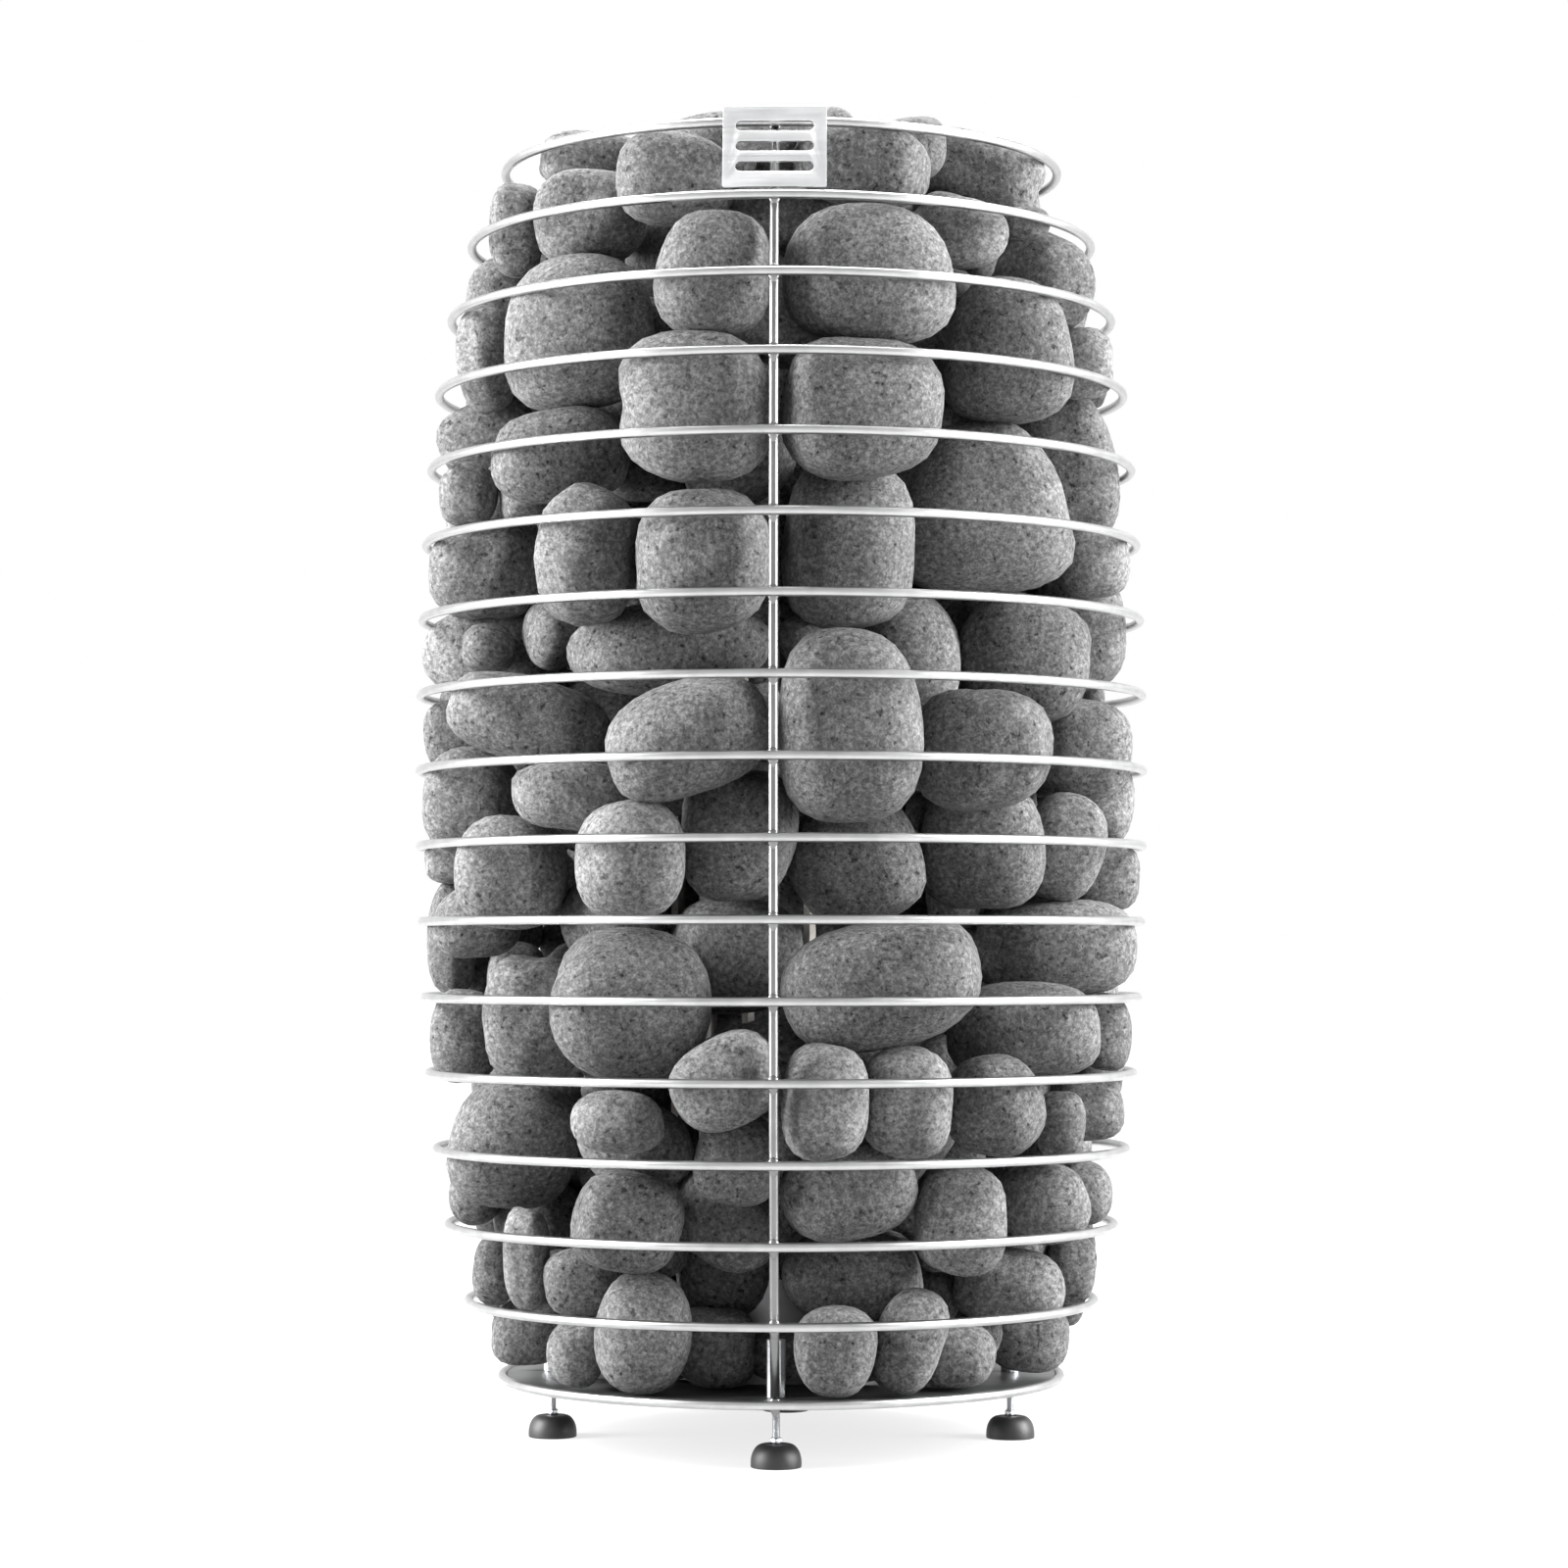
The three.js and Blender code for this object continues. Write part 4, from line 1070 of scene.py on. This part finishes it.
def fill_outer_layer(rng, seated, outline):
    """Random places along the wires, behind the shown stones at the front, each as large as has room."""
    for tries, smallest in OUTER_PASSES:
        sizes = [size for size in SIZES if size >= smallest]
        for _ in range(tries):
            angle = rng.uniform(0, 2 * np.pi)
            height = rng.uniform(BASE_TOP + FILL_START, RING_HEIGHTS[-1])
            axes = upright_axes(angle, rng.uniform(-LOOSE_TURN, LOOSE_TURN))
            stone = Stone(rng, loose_halves(rng), axes, LOOSE_WEIGHT)
            facing = max(0.0, -math.sin(angle - CAMERA_AZIMUTH))
            inset = OUTER_INSET + facing * FRONT_INSET + np.arange(0, INSET_REACH, INSET_STEP)
            if facing > FRONT_FACING and smallest < FRONT_SMALLEST:
                continue
            places = (basket_radius(height) - inset)[:, None] * axes[2] + np.array([0, 0, height])
            stone.settle(seated, *choices(places, sizes), outline)


def fill_bottom_row(rng, seated, outline):
    """Stones that lie on the base along the bottom ring, further in behind those that the camera sees."""
    for angle in 2 * np.pi * np.arange(BOTTOM_COUNT) / BOTTOM_COUNT:
        facing = max(0.0, -math.sin(angle - CAMERA_AZIMUTH))
        start = BOTTOM_INSET + int(BOTTOM_FRONT_INSET * facing)
        axes = upright_axes(angle, rng.uniform(-BOTTOM_TURN, BOTTOM_TURN))
        stone = Stone(rng, loose_halves(rng), axes, LOOSE_WEIGHT)
        insets = range(start, start + BOTTOM_REACH, BOTTOM_STEP)
        places = [(RING_RADII[0] - inset * MM) * axes[2] + np.array([0, 0, BASE_TOP + lift * MM])
                  for lift in BOTTOM_LIFTS for inset in insets]
        stone.settle(seated, *choices(np.array(places), SIZES[:-1]), outline)


def heap_top(rng, seated):
    """Heap: random places over the basket, each stone let down from its surface until it has room."""
    for tries, smallest in HEAP_PASSES:
        sizes = [size for size in SIZES if size >= smallest]
        for _ in range(tries):
            angle, out = rng.uniform(0, 2 * np.pi), HEAP_RADIUS * math.sqrt(rng.uniform())
            turn = rng.uniform(0, 2 * np.pi)
            side = np.array([math.cos(turn), math.sin(turn), 0])
            axes = [side, np.array([-side[1], side[0], 0]), np.array([0, 0, 1.0])]
            stone = Stone(rng, loose_halves(rng), axes, LOOSE_WEIGHT)
            heights = heap_height(out) - HEAP_DEPTHS
            spot = np.array([out * math.cos(angle), out * math.sin(angle), 0])
            places = spot + heights[:, None] * np.array([0, 0, 1.0])
            stone.settle(seated, *choices(places, sizes))


def fill_inner_layer(rng, seated):
    """Second layer: rows round the elements, each stone as large as the shown stones leave room for."""
    pitch = (RING_HEIGHTS[-1] - BASE_TOP) / BACKING_ROWS
    for row in range(BACKING_ROWS):
        for copy in range(BACKING_COUNT):
            stray = rng.uniform(-BACKING_STRAY, BACKING_STRAY)
            angle = 2 * np.pi * (copy + 0.5 * (row % 2) + stray) / BACKING_COUNT
            height = BASE_TOP + pitch * (row + 0.5) + rng.uniform(-BACKING_LIFT, BACKING_LIFT) * MM
            axes = upright_axes(angle, rng.uniform(-BACKING_TURN, BACKING_TURN))
            halves = np.array(BACKING_HALVES) * MM * rng.uniform(*BACKING_SPREAD, 3)
            stone = Stone(rng, halves, axes, LOOSE_WEIGHT)
            stone.fine = False
            reach = BACKING_RADIUS + np.array(BACKING_STEPS) * MM
            places = reach[:, None] * axes[2] + np.array([0, 0, height])
            stone.settle(seated, *choices(places, BACKING_SIZES))


def lines_of_sight(outline):
    """Places in the photograph, row by row inside the stones' outline, and the directions through them."""
    spots = []
    for down in range(GAP_TOP, GAP_BOTTOM, GAP_STEP):
        for across in np.arange(outline[0][down] + GAP_STEP, outline[1][down] - GAP_STEP, GAP_STEP):
            spots.append((across, down))
    return np.array(spots), np.array([sight(*spot) for spot in spots])


def met_by(stone, spots, rays):
    """Whether each line of sight meets a stone, from points on it through the stone's depth."""
    across, down = seen_at(stone.middle + stone.probe)
    near = (spots[:, 0] > across.min()) & (spots[:, 0] < across.max())
    near &= (spots[:, 1] > down.min()) & (spots[:, 1] < down.max())
    depths = (stone.middle - EYE) @ AHEAD + np.linspace(-1, 1, SIGHT_POINTS) * stone.halves.max()
    points = EYE + depths[:, None] * rays[near][:, None]
    met = np.zeros(len(spots), bool)
    met[near] = cubed_share((points - stone.middle) @ stone.axes.T / stone.halves).min(1) < TOUCH
    return met


def close_gaps(rng, seated, outline):
    """Where a line of sight still passes between the stones, seats one on it, as large as has room."""
    spots, rays = lines_of_sight(outline)
    unmet = np.ones(len(spots), bool)
    for stone in seated:
        unmet &= ~met_by(stone, spots, rays)
    depths = CAMERA_DISTANCE + np.arange(*GAP_DEPTHS) * MM
    for spot, ray in enumerate(rays):
        middles = EYE + depths[:, None] * ray
        middles = middles[np.hypot(middles[:, 0], middles[:, 1]) > CORE_REACH]
        if not unmet[spot] or len(middles) == 0:
            continue
        axes = upright_axes(rng.uniform(0, 2 * np.pi), rng.uniform(-LOOSE_TURN, LOOSE_TURN))
        stone = Stone(rng, loose_halves(rng), axes, LOOSE_WEIGHT)
        if stone.settle(seated, *choices(middles, GAP_SIZES), outline):
            unmet &= ~met_by(stone, spots, rays)


def make_stones():
    """Groups the stones by the height of their middle, one piece for each tier and one for the heap."""
    rng = np.random.default_rng(SEED)
    seated = seat_front_stones(rng)
    outline = outline_of(seated)
    heap_top(rng, seated)
    fill_bottom_row(rng, seated, outline)
    fill_outer_layer(rng, seated, outline)
    fill_inner_layer(rng, seated)
    close_gaps(rng, seated, outline)
    groups = {}
    for stone in seated:
        tier = int((stone.middle[2] - TIER_BASE) // TIER_PITCH)
        name = "stones_cap" if tier >= TIER_COUNT else "stones_tier_%02d" % (max(tier, 0) + 1)
        groups.setdefault(name, []).append(stone)
    for name, stones in sorted(groups.items()):
        parts, tones = [], []
        for stone in stones:
            directions, faces = FINE if stone.fine else COARSE
            points = stone.middle + stone.shaped(directions)
            parts.append((points, faces))
            tones.append(np.full(len(points), stone.tone))
        points, faces = join(parts)
        tones = np.concatenate(tones)
        make_piece("loose_" + name, points, faces, STONE, "heater", [name], values=tones)


# Studio

WORLD_SIDES = (-0.55, 0.25)  # from before the heater to behind it, where the world goes from dim to bright
WORLD_LIGHT = 0.4
WORLD_DIM = 0.03
MIRROR_DIM = 0.6             # the dim side as metal shows it
FLOOR_REACH = 14.0
FLOOR_GREY = 0.25
GLOW_NEAR = 0.74             # the floor's own white by the heater, which rises to 1 far from it
GLOW_NEAR_REACH = 0.5
GLOW_FAR_REACH = 2.4
LAMP_TARGET = (0, 0, 0.45)
LAMPS = {                    # place, width and height, power
    "left_softbox": ((-1.8, -0.42, 1.0), (1.0, 1.8), 175),
    "right_softbox": ((1.8, -0.36, 1.0), (1.0, 1.8), 155),
    "top_softbox": ((0.0, 0.5, 2.2), (1.2, 1.2), 75),
    "front_fill": ((0.1, -2.6, 1.2), (2.0, 1.4), 4),
}


def add_light(name, place, size, power):
    """An area lamp that faces the heater's middle and doesn't show itself."""
    data = bpy.data.lights.new(name, "AREA")
    data.shape = "RECTANGLE"
    data.size, data.size_y = size
    data.energy = power
    lamp = bpy.data.objects.new(name, data)
    lamp.visible_camera = False
    bpy.context.scene.collection.objects.link(lamp)
    back = np.array(place) - np.array(LAMP_TARGET)
    back /= np.linalg.norm(back)
    side = np.cross([0, 0, 1.0], back)
    side /= np.linalg.norm(side)
    lamp.matrix_world = aimed(side, np.cross(back, side), back, place)


def graded(tree, share, low, high):
    """low where share is 0, high where it is 1, from two numbers."""
    return link_math(tree, "ADD", link_math(tree, "MULTIPLY", share, high - low), low)


def mixed(tree, share, a, b):
    """a where share is 0, b where it is 1, from sockets or numbers."""
    rest = link_math(tree, "SUBTRACT", 1.0, share)
    first, second = link_math(tree, "MULTIPLY", rest, a), link_math(tree, "MULTIPLY", share, b)
    return link_math(tree, "ADD", first, second)


def mirrored_rays(path, tree):
    """1 for the rays that metal and glass send on."""
    return link_math(tree, "MAXIMUM", path.outputs["Is Glossy Ray"], path.outputs["Is Transmission Ray"])


def make_world(scene):
    """White studio: bright behind and beside the heater, dim before it, plain white to the camera."""
    world = bpy.data.worlds.new("studio")
    scene.world = world
    world.use_nodes = True
    tree = world.node_tree
    tree.nodes.clear()
    coords = tree.nodes.new("ShaderNodeTexCoord")
    parts = tree.nodes.new("ShaderNodeSeparateXYZ")
    tree.links.new(coords.outputs["Generated"], parts.inputs[0])
    share = link_range(tree, parts.outputs["Y"], *WORLD_SIDES, kind="SMOOTHSTEP")
    path = tree.nodes.new("ShaderNodeLightPath")
    light = graded(tree, share, WORLD_DIM, WORLD_LIGHT)
    mirrored = graded(tree, share, MIRROR_DIM, 1.0)
    strength = mixed(tree, mirrored_rays(path, tree), light, mirrored)
    strength = mixed(tree, path.outputs["Is Camera Ray"], strength, 1.0)
    background = tree.nodes.new("ShaderNodeBackground")
    tree.links.new(strength, background.inputs["Strength"])
    background.inputs["Color"].default_value = (1, 1, 1, 1)
    output = tree.nodes.new("ShaderNodeOutputWorld")
    tree.links.new(background.outputs[0], output.inputs["Surface"])


def floor_finish():
    """Pale floor: plain grey to light, with white of its own added where the camera or metal sees it."""
    material = bpy.data.materials.new("pale_floor")
    material.use_nodes = True
    tree = material.node_tree
    tree.nodes.clear()
    output = tree.nodes.new("ShaderNodeOutputMaterial")
    diffuse = tree.nodes.new("ShaderNodeBsdfDiffuse")
    diffuse.inputs["Color"].default_value = (FLOOR_GREY, FLOOR_GREY, FLOOR_GREY, 1)
    glow = tree.nodes.new("ShaderNodeEmission")
    coords = tree.nodes.new("ShaderNodeTexCoord")
    away = tree.nodes.new("ShaderNodeVectorMath")
    away.operation = "LENGTH"
    tree.links.new(coords.outputs["Object"], away.inputs[0])
    reach = away.outputs["Value"]
    fade = link_range(tree, reach, GLOW_NEAR_REACH, GLOW_FAR_REACH, GLOW_NEAR, 1.0, "SMOOTHSTEP")
    tree.links.new(fade, glow.inputs["Strength"])
    both = tree.nodes.new("ShaderNodeAddShader")
    mix = tree.nodes.new("ShaderNodeMixShader")
    tree.links.new(diffuse.outputs[0], both.inputs[0])
    tree.links.new(glow.outputs[0], both.inputs[1])
    path = tree.nodes.new("ShaderNodeLightPath")
    shown = link_math(tree, "MAXIMUM", path.outputs["Is Camera Ray"], mirrored_rays(path, tree))
    tree.links.new(shown, mix.inputs["Fac"])
    tree.links.new(diffuse.outputs[0], mix.inputs[1])
    tree.links.new(both.outputs[0], mix.inputs[2])
    tree.links.new(mix.outputs[0], output.inputs["Surface"])
    return material


def make_studio():
    """White world, a flat floor and the lamps."""
    scene = bpy.context.scene
    scene.view_settings.view_transform = "Standard"
    make_world(scene)
    floor_mesh = bpy.data.meshes.new("floor")
    corners = [(x * FLOOR_REACH, y * FLOOR_REACH, 0) for x, y in ((-1, -1), (1, -1), (1, 1), (-1, 1))]
    floor_mesh.from_pydata(corners, [], [(0, 1, 2, 3)])
    floor_mesh.materials.append(floor_finish())
    floor = bpy.data.objects.new("floor", floor_mesh)
    scene.collection.objects.link(floor)
    for name, (place, size, power) in LAMPS.items():
        add_light(name, place, size, power)


make_camera()
make_studio()
make_rings()
make_uprights()
make_front_plate()
make_feet()
make_base()
dress_solids()
make_stones()
